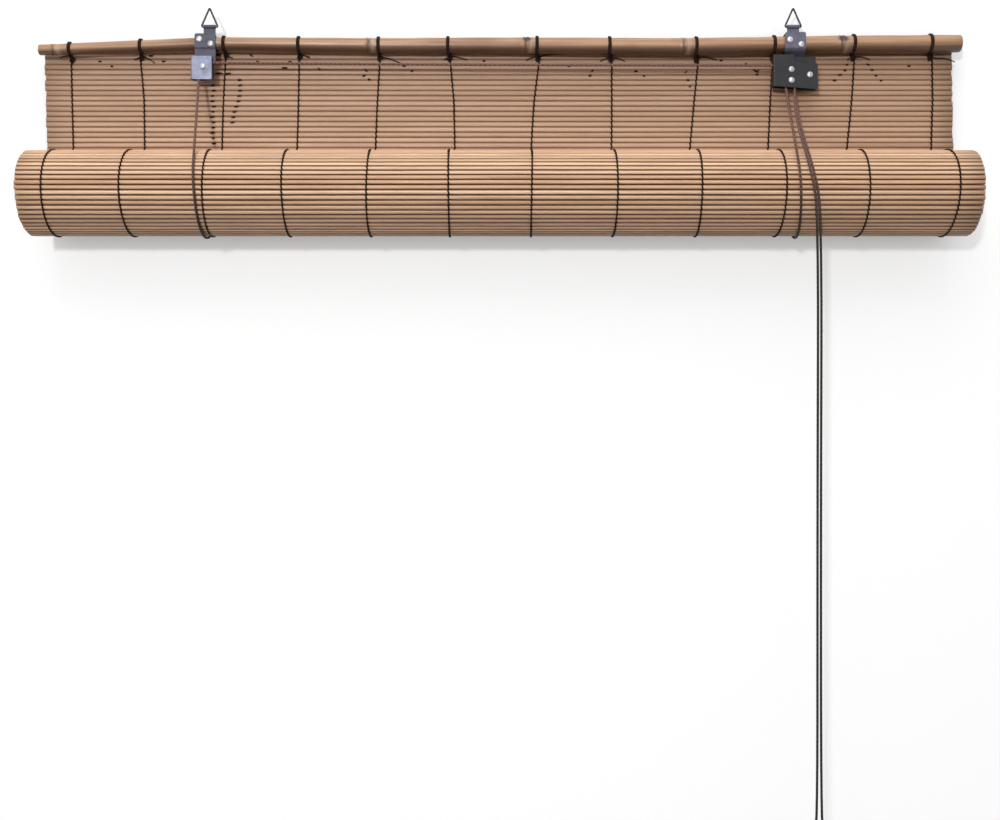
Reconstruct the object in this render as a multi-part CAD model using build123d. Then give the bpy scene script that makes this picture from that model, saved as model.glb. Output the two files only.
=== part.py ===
"""Bamboo roll up blind, drawn up to a roll, hung on two wire rings.

Millimetres, +Z up, -Y towards the room. The origin is on the hanging line, halfway between the two rings.
"""

from build123d import *
import os
from math import asin, atan2, cos, hypot, pi, radians, sin, sqrt, tan

# Slat mat
blind_width = 800.0
blind_drop = 1600.0
slat_width = 3.5
slat_thickness = 2.2
slat_web = 0.7
hanging_pitch = 4.6
rolled_pitch = 4.15
hanging_slats = 29
turn_gap = 0.88
mat_top = -31.6
mat_gap = 0.2

# Bottom rod at the middle of the roll
rod_radius = 4.2
rod_inset = 3.0
rod_gap = 0.3

# Bamboo pole, thin end at the left
pole_overhang = 3.0
pole_height = -31.9
pole_tip_radius = 4.6
pole_mid_radius = 6.7
pole_butt_radius = 7.4
pole_wall = 3.2
pole_first_node = 13.0
pole_node_pitch = 137.5
pole_lifts = (-3.5, -3.2, 2.0, 0.4, 0.4, -0.6, 1.4, 1.9)
node_swell = 0.45
node_half_width = 2.5
bore_short_of_node = 3.0
pole_sides = 18

# Warp threads that tie the slats and hang the mat from the pole
thread_count = 12
thread_inset = 22.0
thread_drift = (0.0, -4.0, -5.0, -8.0, -7.0, -8.5, -6.0, -6.5, -5.0, -5.0, -4.5, 0.5)
thread_width = 1.0
thread_thickness = 0.6
thread_clearance = 0.12
thread_strap_gap = 0.4
lash_sides = 12
wrap_steps = 14

# Hangers: a folded steel strap over the pole, a curl on its top and a wire ring in the curl
hanger_inset = 143.5
strap_width = 18.0
strap_chamfer = 1.4
sheet = 1.0
strap_clearance = 0.15
front_slant = 30.0
rear_slant = 70.0
tab_width = 10.4
curl_height = -15.2
ring_wire = 1.4
ring_clearance = 0.08
ring_corner_height = 3.0
ring_bend = 1.5
ring_sides = 10
tongue_end = -47.2
left_tab_shift = 2.4

# Rivets
rivet_head_radius = 2.8
rivet_head_height = 1.5
rivet_crown_radius = 1.5
rivet_sides = 16
rivet_shank_radius = 1.4
rivet_clearance = 0.05
strap_rivet_dx = 4.9
strap_rivet_dz = 2.0

# Left pulley housing
housing_width = 18.8
housing_depth = 6.4
housing_front = -9.6
housing_top = -43.4
housing_bottom = -63.5
housing_shift = -2.5
pulley_shift = -1.4
pulley_height = -52.5

# Cord lock at the right hanger
lock_left = -19.8
lock_right = 18.9
lock_step = -1.9
lock_depth = 8.0
lock_front = -10.0
lock_top = -42.3
lock_step_height = -48.3
lock_right_drop = 1.9
lock_bottom_left = -69.5
lock_bottom_right = -72.3
lock_pulley_shift = -3.9
lock_pulley_height = -55.2
anvil_height = -64.6
pawl_shift = 12.0
pawl_height = -59.8
pawl_hub_radius = 3.4
pawl_face = 6.4
pawl_teeth = 5
pawl_tooth_depth = 0.6
bend_radius = 1.5

# Wheels and cords
cord_diameter = 2.0
cord_sides = 8
cord_spacing = 2.6
wheel_groove_radius = 2.8
wheel_rim_radius = 4.3
wheel_side_clearance = 0.2
axle_clearance = 0.05
cord_clearance = 0.2
pull_cord_spread = 3.3
pull_cord_fan = 0.8
pull_cord_shift = 5.5
pull_cord_plumb = 20.0
pull_cord_waver = 1.2
pull_cord_rim_bend = 60.0
pull_cord_waver_bend = 400.0
hank_top = -697.0
hank_run = 36.0
hank_fold_radius = 6.0
hank_nests = 4
hank_layers = 10
hank_spacing = 2.1
hank_pinch = 4.8
hank_chamfer = 2.5
tie_width = 5.0
tie_thickness = 1.2
tie_clearance = 0.15
knot_radius = 3.4
knot_sides = 12

# Sizes that follow from those above
half_width = blind_width / 2
half_slat = slat_thickness / 2
cord_radius = cord_diameter / 2
turn_pitch = slat_thickness + turn_gap
core_radius = rod_radius + rod_gap + half_slat
rolled_slats = round(blind_drop / hanging_pitch) - hanging_slats
roll_radius = sqrt(core_radius**2 + rolled_slats * rolled_pitch * turn_pitch / pi)
roll_z = mat_top - hanging_slats * hanging_pitch
mat_plane = pole_butt_radius + node_swell + strap_clearance + sheet + mat_gap + half_slat
roll_y = mat_plane - roll_radius
mat_front = mat_plane - half_slat
mat_back = mat_plane + half_slat
pole_left = -half_width - pole_overhang
pole_right = half_width + pole_overhang
hanger_x = half_width - hanger_inset
axle_bore = rivet_shank_radius + axle_clearance
rivet_bore = rivet_shank_radius + rivet_clearance
cord_bend = wheel_groove_radius + cord_clearance + cord_radius
roll_wrap = roll_radius - turn_pitch / 4 + half_slat + cord_clearance + cord_radius
wrap_y = roll_y + turn_pitch / 4
lift_plane = wrap_y + roll_wrap
pull_plane = wrap_y - roll_wrap
pull_cord_x = hanger_x + pull_cord_shift
hank_half_width = hank_fold_radius + (hank_nests - 1) * hank_spacing + cord_radius
hank_half_depth = hank_layers * hank_spacing / 2
hank_half_waist = hank_half_width - hank_pinch
hank_middle = hank_top - hank_run / 2 - hank_half_width
hank_bottom = 2 * hank_middle - hank_top


def prism_x(points, x_low, x_high):
    """A solid with the outline points = [(y, z), ...] from x_low to x_high."""
    face = make_face(Plane.YZ * Polyline(*points, close=True))
    return Pos(x_low, 0, 0) * extrude(face, x_high - x_low, dir=(1, 0, 0))


def plane_y(y):
    """A drawing plane at y whose axes are X and Z; it extrudes towards the room."""
    return Plane(origin=(0, y, 0), x_dir=(1, 0, 0), z_dir=(0, -1, 0))


def prism_y(points, y_back, y_front):
    """A solid with the outline points = [(x, z), ...] from y_back forward to y_front."""
    face = plane_y(y_back) * make_face(Polyline(*points, close=True))
    return extrude(face, y_back - y_front, dir=(0, -1, 0))


def disc_y(x, z, radius, y_back, y_front):
    """A round bar along Y."""
    return extrude(plane_y(y_back) * Pos(x, z) * Circle(radius), y_back - y_front)


def strip(points, thickness):
    """The outline of a strip of this thickness whose middle line is points, with mitred corners."""
    sides = ([], [])
    for i, (y, z) in enumerate(points):
        before = points[max(i - 1, 0)]
        after = points[min(i + 1, len(points) - 1)]
        into = atan2(z - before[1], y - before[0]) if i else None
        out = atan2(after[1] - z, after[0] - y) if i < len(points) - 1 else into
        into = out if into is None else into
        half_turn = ((out - into + pi) % (2 * pi) - pi) / 2
        reach = thickness / 2 / cos(half_turn)
        direction = into + half_turn + pi / 2
        for side, sign in zip(sides, (1, -1)):
            side.append((y + sign * reach * cos(direction), z + sign * reach * sin(direction)))
    return sides[0] + sides[1][::-1]


def spiral_radius(angle):
    """The radius of the mat's middle plane after it has rolled by angle radians."""
    return roll_radius - turn_pitch * angle / (2 * pi)


def roll_point(angle, radius):
    """A point beside the roll's centre: angle 0 is at the back and a quarter turn is below."""
    return roll_y + radius * cos(angle), roll_z - radius * sin(angle)


def mat_frames():
    """(y, z, roll angle or None, direction of the back face) of each slat's middle, from the pole down."""
    frames = []
    for i in range(hanging_slats):
        frames.append((mat_plane, mat_top - (i + 0.5) * hanging_pitch, None, 0.0))
    angle = rolled_pitch / 2 / roll_radius
    for _ in range(rolled_slats):
        radius = spiral_radius(angle)
        frames.append((*roll_point(angle, radius), angle, -angle))
        angle += rolled_pitch / radius
    return frames


def mat_outline():
    """Ridged outline of the mat in Y and Z: down its back face and up its front face."""
    frames = mat_frames()
    back, front = [], []
    for i, (y, z, angle, facing) in enumerate(frames):
        ny, nz = cos(facing), sin(facing)
        ty, tz = nz, -ny
        for side, sign in ((back, 1), (front, -1)):
            buried = angle is not None and angle > 2 * pi
            if sign < 0 and buried:
                side.append((y - ny * half_slat, z - nz * half_slat))
                continue
            for end in (-1, 1):
                side.append(
                    (
                        y + end * ty * slat_width / 2 + sign * ny * half_slat,
                        z + end * tz * slat_width / 2 + sign * nz * half_slat,
                    )
                )
            if i < len(frames) - 1:
                next_y, next_z, _, next_facing = frames[i + 1]
                between = (facing + next_facing) / 2
                side.append(
                    (
                        (y + next_y) / 2 + sign * cos(between) * slat_web / 2,
                        (z + next_z) / 2 + sign * sin(between) * slat_web / 2,
                    )
                )
    return back + front[::-1]


def slat_mat():
    """The whole mat: slats side by side, hanging and then wound up, cut clear of the strap rivets."""
    mat = prism_x(mat_outline(), -half_width, half_width)
    for side in (-1, 1):
        for x, z in strap_rivets_at(side):
            if (x, z) == anchor_rivet(side):
                mat -= disc_y(x, z, rivet_bore + mat_gap, 2 * mat_back, 0)
            else:
                head_back = strap_leg(side) + sheet / 2 + rivet_head_height + mat_gap
                mat -= disc_y(x, z, rivet_head_radius + mat_gap, head_back, 0)
    return mat


def bottom_rod():
    """Round rod along the mat's lower edge, which is the core that it winds on."""
    rod = extrude(Plane.YZ * Circle(rod_radius), blind_width - 2 * rod_inset)
    rod = chamfer(rod.edges(), rod_radius / 5)
    return Pos(-half_width + rod_inset, roll_y, roll_z) * rod


def pole_nodes():
    """X of each joint ring of the bamboo."""
    first = pole_left + pole_first_node
    count = int((pole_right - pole_first_node / 2 - first) / pole_node_pitch) + 1
    return [first + i * pole_node_pitch for i in range(count)]


def pole_radius(x):
    """Radius by the parabola through the radii at the thin end, the middle and the thick end."""
    u = x / (pole_right if x > 0 else -pole_left)
    rise = (pole_butt_radius - pole_tip_radius) / 2
    bow = (pole_butt_radius + pole_tip_radius) / 2 - pole_mid_radius
    return pole_mid_radius + rise * u + bow * u * u


def pole_axis(x):
    """Height of the pole's axis: straight between its nodes and bent a little at each."""
    stops = [pole_left] + pole_nodes() + [pole_right]
    lifts = [pole_lifts[min(i, len(pole_lifts) - 1)] for i in range(len(stops))]
    for x0, x1, h0, h1 in zip(stops, stops[1:], lifts, lifts[1:]):
        if x <= x1 or x1 == stops[-1]:
            return pole_height + h0 + (h1 - h0) * (x - x0) / (x1 - x0)


def strap_rivets_at(side):
    """(x, z) of the two rivets that go through a strap and the pole."""
    x = side * hanger_x
    z = pole_axis(x)
    return [(x - strap_rivet_dx, z + strap_rivet_dz), (x + strap_rivet_dx, z - strap_rivet_dz)]


def bamboo_pole():
    """Cane with swollen nodes, open at both cut ends as far as the nearest node."""
    sections = [(pole_left, 0.0)]
    for x in pole_nodes():
        sections += [(x - node_half_width, 0.0), (x, node_swell), (x + node_half_width, 0.0)]
    sections.append((pole_right, 0.0))
    rings = [
        Plane(origin=(x, 0, pole_axis(x)), x_dir=(0, 1, 0), z_dir=(1, 0, 0))
        * RegularPolygon(pole_radius(x) + swell, pole_sides)
        for x, swell in sections
    ]
    pole = loft(rings, ruled=True)
    nodes = pole_nodes()
    for x, depth, way in (
        (pole_left, nodes[0] - pole_left - bore_short_of_node, 1),
        (pole_right, pole_right - nodes[-1] - bore_short_of_node, -1),
    ):
        mouth = Plane(origin=(x, 0, pole_axis(x)), x_dir=(0, 1, 0), z_dir=(way, 0, 0))
        pole -= extrude(mouth * Circle(pole_radius(x) - pole_wall), depth)
    reach = 2 * pole_butt_radius
    for side in (-1, 1):
        for x, z in strap_rivets_at(side):
            pole -= disc_y(x, z, rivet_bore, reach, -reach)
    return pole


def beside_strap(x):
    """The place nearest to x at which a thread clears both straps and the lift cords' eyes behind them."""
    for side in (-1, 1):
        away = x - side * hanger_x
        room = strap_width / 2 + thread_strap_gap + thread_width / 2
        if abs(away) < room:
            x = side * hanger_x + (room if away >= 0 else -room)
    return x


def thread_places():
    """X of each warp thread, evenly spread, moved by its drift and kept beside the straps."""
    pitch = (blind_width - 2 * thread_inset) / (thread_count - 1)
    return [
        beside_strap(-half_width + thread_inset + i * pitch + thread_drift[i % len(thread_drift)])
        for i in range(thread_count)
    ]


def lash_polygon(radius, height):
    """Flat-sided ring round the pole at this radius, as (y, z) points."""
    angles = [2 * pi * (i + 0.5) / lash_sides for i in range(lash_sides)]
    return [(radius * cos(a), height + radius * sin(a)) for a in angles]


def warp_thread(x):
    """A lash round the pole, a strand down the mat's front and one down its back and round the roll."""
    half = thread_thickness / 2
    axis = pole_axis(x)
    inner = (pole_radius(x) + node_swell + thread_clearance) / cos(pi / lash_sides)
    middle = inner + half
    loop = make_face(Polyline(*lash_polygon(middle + half, axis), close=True))
    loop -= make_face(Polyline(*lash_polygon(inner, axis), close=True))
    off_mat = thread_clearance + half
    lean = radians(50)
    front_y = mat_front - off_mat
    back_y = mat_back + off_mat
    low = axis - middle * sin(lean)
    front = [
        (middle * cos(lean), low),
        (front_y, min(low, mat_top) - slat_width),
        (front_y, roll_z + roll_radius * sin(lean)),
    ]
    back = [
        (middle * cos(lean), axis + middle * sin(lean)),
        (back_y, mat_top + slat_width / 2),
        (back_y, (mat_top + roll_z) / 2),
    ]
    step = 2 * pi / wrap_steps
    slat_corner = hypot(roll_radius + half_slat, slat_width / 2) - roll_radius - half_slat
    for i in range(wrap_steps - 2):
        angle = step * (i + 0.5)
        radius = spiral_radius(angle) + half_slat + slat_corner + off_mat
        back.append(roll_point(angle, radius / cos(step / 2)))
    profile = loop
    for line in (front, back):
        profile += make_face(Polyline(*strip(line, thread_thickness), close=True))
    return Pos(x - thread_width / 2, 0, 0) * extrude(Plane.YZ * profile, thread_width, dir=(1, 0, 0))


def strap_leg(side):
    """Y of a strap leg's middle plane: it clears the pole's nodes."""
    return pole_radius(side * hanger_x) + node_swell + strap_clearance + sheet / 2


def strap_top(side):
    """Height of a strap's top, over the pole's highest point under it."""
    x = side * hanger_x
    edges = (x - strap_width / 2, x, x + strap_width / 2)
    return max(pole_axis(e) + pole_radius(e) for e in edges) + node_swell + strap_clearance + sheet


def leg_line(way, leg, top, fold, slant, layer):
    """Middle line of one leg: over, down to its fold, in by the slant and down the tongue."""
    end = fold - abs(layer - way * leg) / tan(radians(slant))
    return [(0, top), (way * leg, top), (way * leg, fold), (layer, end), (layer, tongue_end)]


def hanger_strap(side, tab_shift, tongue_back):
    """Steel strap: a curl for the ring, a saddle over the pole and two legs that meet in a tongue."""
    x = side * hanger_x
    axis, leg, top = pole_axis(x), strap_leg(side), strap_top(side)
    middle = top - sheet / 2
    front_fold = axis - strap_rivet_dz - rivet_head_radius - strap_clearance
    rear_fold = axis - leg * tan(radians(rear_slant) / 2)
    lines = (
        leg_line(-1, leg, middle, front_fold, front_slant, tongue_back - 1.5 * sheet),
        leg_line(1, leg, middle, rear_fold, rear_slant, tongue_back - 0.5 * sheet),
    )
    faces = [make_face(Polyline(*strip(line, sheet), close=True)) for line in lines]
    saddle = faces[0] + faces[1]
    saddle = fillet(saddle.vertices().group_by(Axis.Y)[-1], sheet)
    strap = Pos(x - strap_width / 2, 0, 0) * extrude(Plane.YZ * saddle, strap_width, dir=(1, 0, 0))
    half, cut = strap_width / 2, strap_chamfer
    outline = [
        (x - half, top - cut),
        (x - half + cut, top),
        (x + half - cut, top),
        (x + half, top - cut),
        (x + half, tongue_end),
        (x - half, tongue_end),
    ]
    strap &= prism_y(outline, 2 * leg, -2 * leg)
    bore = ring_wire / 2 + ring_clearance
    curl = Pos(0, curl_height) * Circle(bore + sheet)
    neck = Pos(0, (curl_height + middle) / 2) * Rectangle(sheet, curl_height - middle)
    tab = (curl + neck) - Pos(0, curl_height) * Circle(bore)
    tab = extrude(Plane.YZ * tab, tab_width, dir=(1, 0, 0))
    strap += Pos(x + tab_shift - tab_width / 2, 0, 0) * tab
    for rivet_x, rivet_z in strap_rivets_at(side):
        strap -= disc_y(rivet_x, rivet_z, rivet_bore, 2 * leg, -2 * leg)
    return strap


def wire_ring(side, tab_shift):
    """Triangular ring of round wire: its lower bar lies in the curl and its top meets the hanging line."""
    x = side * hanger_x + tab_shift
    radius = ring_wire / 2
    half = tab_width / 2 + ring_bend
    shoulder = curl_height + ring_corner_height
    lean = atan2(half, -shoulder)
    tip_bend = ring_bend / 2
    tip = radius + tip_bend * (1 / sin(lean) - 1)
    corners = [
        (x - half, 0, curl_height),
        (x - half, 0, shoulder),
        (x, 0, tip),
        (x + half, 0, shoulder),
        (x + half, 0, curl_height),
    ]
    bend = 0.9 * ring_bend
    path = FilletPolyline(*corners, radius=[bend, 2 * bend, tip_bend, 2 * bend, bend], close=True)
    return sweep(Plane(origin=path @ 0, z_dir=path % 0) * RegularPolygon(radius, ring_sides), path=path)


def rivet(x, z, front, back):
    """Rivet with its crowned heads on the planes front and back."""
    body = disc_y(x, z, rivet_shank_radius, back, front)
    for seat, way in ((front, -1), (back, 1)):
        sections = [
            plane_y(seat + way * rise) * Pos(x, z) * RegularPolygon(radius, rivet_sides)
            for rise, radius in (
                (0, rivet_head_radius),
                (rivet_head_height / 3, rivet_head_radius),
                (rivet_head_height, rivet_crown_radius),
            )
        ]
        body += loft(sections, ruled=True)
    return body


def anchor_rivet(side):
    """(x, z) of the strap rivet nearer the blind's middle, whose long rear end carries the lift cord."""
    return strap_rivets_at(side)[1 if side < 0 else 0]


def strap_rivets(side):
    """The two rivets of one strap."""
    outer = strap_leg(side) + sheet / 2
    plain = strap_rivets_at(side)[0 if side < 0 else 1]
    post = lift_plane + cord_radius + cord_clearance
    return rivet(*plain, -outer, outer) + rivet(*anchor_rivet(side), -outer, post)


def folded_housing(left, right, front, depth, top, bottom):
    """Sheet folded to a U that is closed at its left side."""
    outer = Pos((left + right) / 2, front + depth / 2) * Rectangle(right - left, depth)
    outer = fillet(outer.vertices().group_by(Axis.X)[0], bend_radius)
    inner_left, inner_right = left + sheet, right + sheet
    inner = Pos((inner_left + inner_right) / 2, front + depth / 2)
    inner *= Rectangle(inner_right - inner_left, depth - 2 * sheet)
    inner = fillet(inner.vertices().group_by(Axis.X)[0], bend_radius - sheet)
    return Pos(0, 0, bottom) * extrude(outer - inner, top - bottom)


def pulley_housing():
    """Left housing, open below and at its right, where the cord runs across."""
    middle = -hanger_x + housing_shift
    left, right = middle - housing_width / 2, middle + housing_width / 2
    body = folded_housing(left, right, housing_front, housing_depth, housing_top, housing_bottom)
    x = -hanger_x + pulley_shift
    return body - disc_y(x, pulley_height, rivet_bore, 0, 2 * housing_front)


def lock_rivets_at():
    """(x, z) of the pulley axle, the anvil rivet and the pawl pivot."""
    return [
        (hanger_x + lock_pulley_shift, lock_pulley_height),
        (hanger_x + lock_pulley_shift, anvil_height),
        (hanger_x + pawl_shift, pawl_height),
    ]


def lock_housing():
    """Cord lock's housing: its front wall steps down beside the strap, its closed side has a slot."""
    left, right = hanger_x + lock_left, hanger_x + lock_right
    step, low_step = hanger_x + lock_step, lock_step_height - lock_right_drop
    above, below = lock_top + sheet, lock_bottom_right - sheet
    body = folded_housing(left, right, lock_front, lock_depth, lock_top, lock_bottom_right)
    notch = [(step, lock_step_height), (right, low_step), (right, above), (step, above)]
    body -= prism_y(notch, lock_front + 1.5 * sheet, lock_front - sheet)
    base = [(left, lock_bottom_left), (right, lock_bottom_right), (right, below), (left, below)]
    body -= prism_y(base, 0, lock_front - sheet)
    slot = cord_diameter + 4 * cord_clearance
    run = Pos(left, lock_front + lock_depth / 2, lock_pulley_height + cord_bend)
    body -= run * Box(4 * sheet, lock_depth - 2 * sheet, slot)
    for x, z in lock_rivets_at():
        body -= disc_y(x, z, rivet_bore, 0, 2 * lock_front)
    return body


def wheel(x, z, front, back, grooves):
    """Grooved cord wheel; grooves holds the Y of each groove's middle."""
    half = cord_radius + cord_clearance
    profile = [(axle_bore, front), (wheel_rim_radius, front)]
    for y in grooves:
        profile += [
            (wheel_rim_radius, y - half),
            (wheel_groove_radius, y - half),
            (wheel_groove_radius, y + half),
            (wheel_rim_radius, y + half),
        ]
    profile += [(wheel_rim_radius, back), (axle_bore, back)]
    return Pos(x, 0, z) * revolve(make_face(Polyline(*profile, close=True)), Axis.Y)


def housing_room(front, depth):
    """(front, back) of what turns between a housing's walls."""
    return front + sheet + wheel_side_clearance, front + depth - sheet - wheel_side_clearance


def pulley_plane():
    """Y of the left pulley's groove."""
    return housing_front + housing_depth / 2


def lock_planes():
    """Y of the two cords in the lock: the left lift cord in front and the right one behind it."""
    middle = lock_front + lock_depth / 2
    return middle - cord_spacing / 2, middle + cord_spacing / 2


def left_pulley():
    """Single wheel that turns the left lift cord across to the lock."""
    front, back = housing_room(housing_front, housing_depth)
    return wheel(-hanger_x + pulley_shift, pulley_height, front, back, [pulley_plane()])


def left_pulley_axle():
    """Rivet that the left pulley turns on."""
    back = housing_front + housing_depth
    return rivet(-hanger_x + pulley_shift, pulley_height, housing_front, back)


def lock_pulley():
    """Double wheel that turns both lift cords down into the lock."""
    front, back = housing_room(lock_front, lock_depth)
    x, z = lock_rivets_at()[0]
    return wheel(x, z, front, back, lock_planes())


def lock_anvil():
    """Fixed bush on the middle rivet, which the pawl presses the cords against."""
    front, back = housing_room(lock_front, lock_depth)
    x, z = lock_rivets_at()[1]
    bush = disc_y(x, z, wheel_groove_radius, back, front)
    return bush - disc_y(x, z, axle_bore, back + sheet, front - sheet)


def lock_pawl():
    """Pawl with a hub on its pivot and an upright toothed face beside the cords."""
    front, back = housing_room(lock_front, lock_depth)
    x, z = lock_rivets_at()[2]
    face_x = hanger_x + lock_pulley_shift + cord_bend + cord_radius + 1.5 * cord_clearance
    low = atan2(z - anvil_height, x - face_x)
    across, up = pawl_hub_radius * sin(low), pawl_hub_radius * cos(low)
    outline = [(x - across, z + up)]
    for i in range(2 * pawl_teeth + 1):
        tooth = pawl_tooth_depth if i % 2 else 0
        outline.append((face_x + tooth, anvil_height + pawl_face * (0.5 - i / (2 * pawl_teeth))))
    outline.append((x + across, z - up))
    body = prism_y(outline, back, front) + disc_y(x, z, pawl_hub_radius, back, front)
    return body - disc_y(x, z, axle_bore, back + sheet, front - sheet)


def lock_rivets():
    """The lock's three rivets, one group of separate solids."""
    rivets = [rivet(x, z, lock_front, lock_front + lock_depth) for x, z in lock_rivets_at()]
    return Compound(children=[solid for piece in rivets for solid in piece.solids()])


def leaving_angle(y, z):
    """How far a cord from (y, z) down to the roll's front slants from the vertical, in radians."""
    away = hypot(y - wrap_y, z - roll_z)
    return atan2(y - wrap_y, z - roll_z) + asin(roll_wrap / away)


def round_roll(x, turn, corners):
    """Corner points of a cord's path from behind the roll's middle, down and round it by turn radians."""
    step = turn / corners
    reach = roll_wrap / cos(step / 2)
    angles = [step * (i + 0.5) for i in range(corners)]
    return [(x, wrap_y + reach * cos(a), roll_z - reach * sin(a)) for a in angles]


def tube(points, bends):
    """Cord along straight runs joined by tangent arcs, many-sided in section."""
    path = FilletPolyline(*points, radius=bends)
    start, second = Vector(*points[0]), Vector(*points[1])
    section = Plane(origin=start, z_dir=second - start) * RegularPolygon(cord_radius, cord_sides)
    solid = sweep(section, path=path)
    share = solid.volume / (section.area * path.length)
    radii = [round(b, 1) for b in bends]
    print("cord", round(path.length), "mm, radii", radii, "volume share", round(share, 4))
    return solid


def lift_cord(side, corner_count, above):
    """Cord from its eye down behind the mat, round the roll and on through the points above."""
    x, z = anchor_rivet(side)
    ring = rivet_shank_radius + cord_clearance + cord_radius
    down_x = x - side * ring
    eye = revolve(Pos(ring, 0) * RegularPolygon(cord_radius, cord_sides), Axis.Y)
    eye = Pos(x, lift_plane, z) * eye
    collar_z = z - rivet_head_radius - cord_clearance - cord_diameter
    eye += Pos(down_x, lift_plane, collar_z) * Cylinder(cord_radius + cord_clearance / 2, 2 * cord_diameter)
    _, leave_y, leave_z = above[0]
    turn = pi + leaving_angle(leave_y, leave_z)
    corners = round_roll(down_x, turn, corner_count)
    points = [(down_x, lift_plane, z - ring), *corners, *above]
    bends = [0.98 * roll_wrap] * corner_count + [1.5 * cord_bend]
    bends += [0.98 * cord_bend] * (len(above) - 2)
    return eye + tube(points, bends)


def left_lift_cord():
    """Over the left pulley and across into the lock."""
    x, y = -hanger_x + pulley_shift - cord_bend, pulley_plane()
    lock_x, lock_z = lock_rivets_at()[0]
    lock_y = lock_planes()[0]
    above = [
        (x, y, housing_bottom - sheet),
        (x, y, pulley_height + cord_bend),
        (lock_x + cord_bend, lock_y, lock_z + cord_bend),
        (lock_x + cord_bend, lock_y, lock_bottom_left),
    ]
    return lift_cord(-1, 3, above)


def right_lift_cord():
    """Over the lock's pulley."""
    x, z = lock_rivets_at()[0]
    y = lock_planes()[1]
    above = [
        (x - cord_bend, y, lock_bottom_left - 1.5 * sheet),
        (x - cord_bend, y, z + cord_bend),
        (x + cord_bend, y, z + cord_bend),
        (x + cord_bend, y, lock_bottom_left),
    ]
    return lift_cord(1, 3, above)


def pull_cord(index):
    """Free end of a lift cord: out of the lock, over the roll's front and straight down to the hank."""
    lock_x = lock_rivets_at()[0][0] + cord_bend
    y = lock_planes()[index]
    x = pull_cord_x + (index - 0.5) * pull_cord_spread
    leave = lock_bottom_right - sheet / 2
    slant = leaving_angle(y, leave)
    rim_x = (lock_x + pull_cord_x + (index - 0.5) * 2 * pull_cord_spread) / 2
    rim_z = roll_z + roll_wrap * tan(slant / 2)
    points = [
        (lock_x, y, lock_bottom_left),
        (lock_x + (index - 0.5) * pull_cord_fan, y, leave),
        (rim_x, pull_plane, rim_z),
        (x, pull_plane, roll_z - pull_cord_plumb),
        (x - pull_cord_waver, pull_plane, (roll_z + hank_top) / 2),
        (x, pull_plane, hank_top),
    ]
    bends = [1.5 * cord_diameter, 0.9 * roll_wrap, pull_cord_rim_bend, pull_cord_waver_bend]
    return tube(points, bends)


def pull_cord_hank():
    """Outer shape of the put-away length: both cords wound in long loops and tied in at the waist."""
    wide, waist, tall = hank_half_width, hank_half_waist, hank_top - hank_middle
    neck = tie_width / 2 + tie_clearance
    right = [
        (0.4 * wide, tall),
        (0.87 * wide, tall - 0.5 * wide),
        (wide, tall - wide),
        (0.3 * waist + 0.7 * wide, (tall - wide + neck) / 2),
        (waist, neck),
    ]
    upper = right + [(x, -z) for x, z in right[::-1]]
    outline = upper + [(-x, z) for x, z in upper[::-1]]
    hank = prism_y(outline, hank_half_depth, -hank_half_depth)
    hank = chamfer(hank.faces().filter_by(Axis.Y).edges(), hank_chamfer)
    return Pos(pull_cord_x, pull_plane, hank_middle) * hank


def hank_tie():
    """Band round the hank's waist."""
    width = 2 * (hank_half_waist + tie_clearance)
    depth = 2 * (hank_half_depth + tie_clearance)
    band = Rectangle(width + 2 * tie_thickness, depth + 2 * tie_thickness)
    band = chamfer(band.vertices(), hank_chamfer)
    band -= chamfer(Rectangle(width, depth).vertices(), hank_chamfer / 2)
    return Pos(pull_cord_x, pull_plane, hank_middle - tie_width / 2) * extrude(band, tie_width)


def pull_cord_knot():
    """Knot that joins the two cord ends under the hank."""
    neck = extrude(RegularPolygon(cord_diameter, knot_sides), -2 * knot_radius)
    ball = extrude(RegularPolygon(knot_radius, knot_sides), -2 * knot_radius)
    ball = chamfer(ball.faces().filter_by(Axis.Z).edges(), 0.4 * knot_radius)
    return Pos(pull_cord_x, pull_plane, hank_bottom) * (neck + Pos(0, 0, -knot_radius) * ball)


def build():
    """Every node of the blind by name."""
    nodes = {
        "bamboo_pole": bamboo_pole(),
        "slat_mat": slat_mat(),
        "bottom_rod": bottom_rod(),
        "left_hanger_strap": hanger_strap(-1, left_tab_shift, housing_front + housing_depth - sheet),
        "right_hanger_strap": hanger_strap(1, 0.0, lock_front + lock_depth - sheet),
        "left_hanging_ring": wire_ring(-1, left_tab_shift),
        "right_hanging_ring": wire_ring(1, 0.0),
        "left_strap_rivets": strap_rivets(-1),
        "right_strap_rivets": strap_rivets(1),
        "left_pulley_housing": pulley_housing(),
        "left_pulley": left_pulley(),
        "left_pulley_axle": left_pulley_axle(),
        "cord_lock_housing": lock_housing(),
        "cord_lock_pulley": lock_pulley(),
        "cord_lock_anvil": lock_anvil(),
        "cord_lock_pawl": lock_pawl(),
        "cord_lock_rivets": lock_rivets(),
        "left_lift_cord": left_lift_cord(),
        "right_lift_cord": right_lift_cord(),
        "left_pull_cord": pull_cord(0),
        "right_pull_cord": pull_cord(1),
        "pull_cord_hank": pull_cord_hank(),
        "hank_tie": hank_tie(),
        "pull_cord_knot": pull_cord_knot(),
    }
    for i, x in enumerate(thread_places()):
        nodes[f"warp_thread_{i + 1:02d}"] = warp_thread(x)
    return nodes


os.makedirs("parts", exist_ok=True)
for name, shape in build().items():
    export_step(shape, f"parts/{name}.step")
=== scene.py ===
"""Dresses the bamboo roll up blind: slats, threads, cane, cords and metal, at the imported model's places."""

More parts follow.
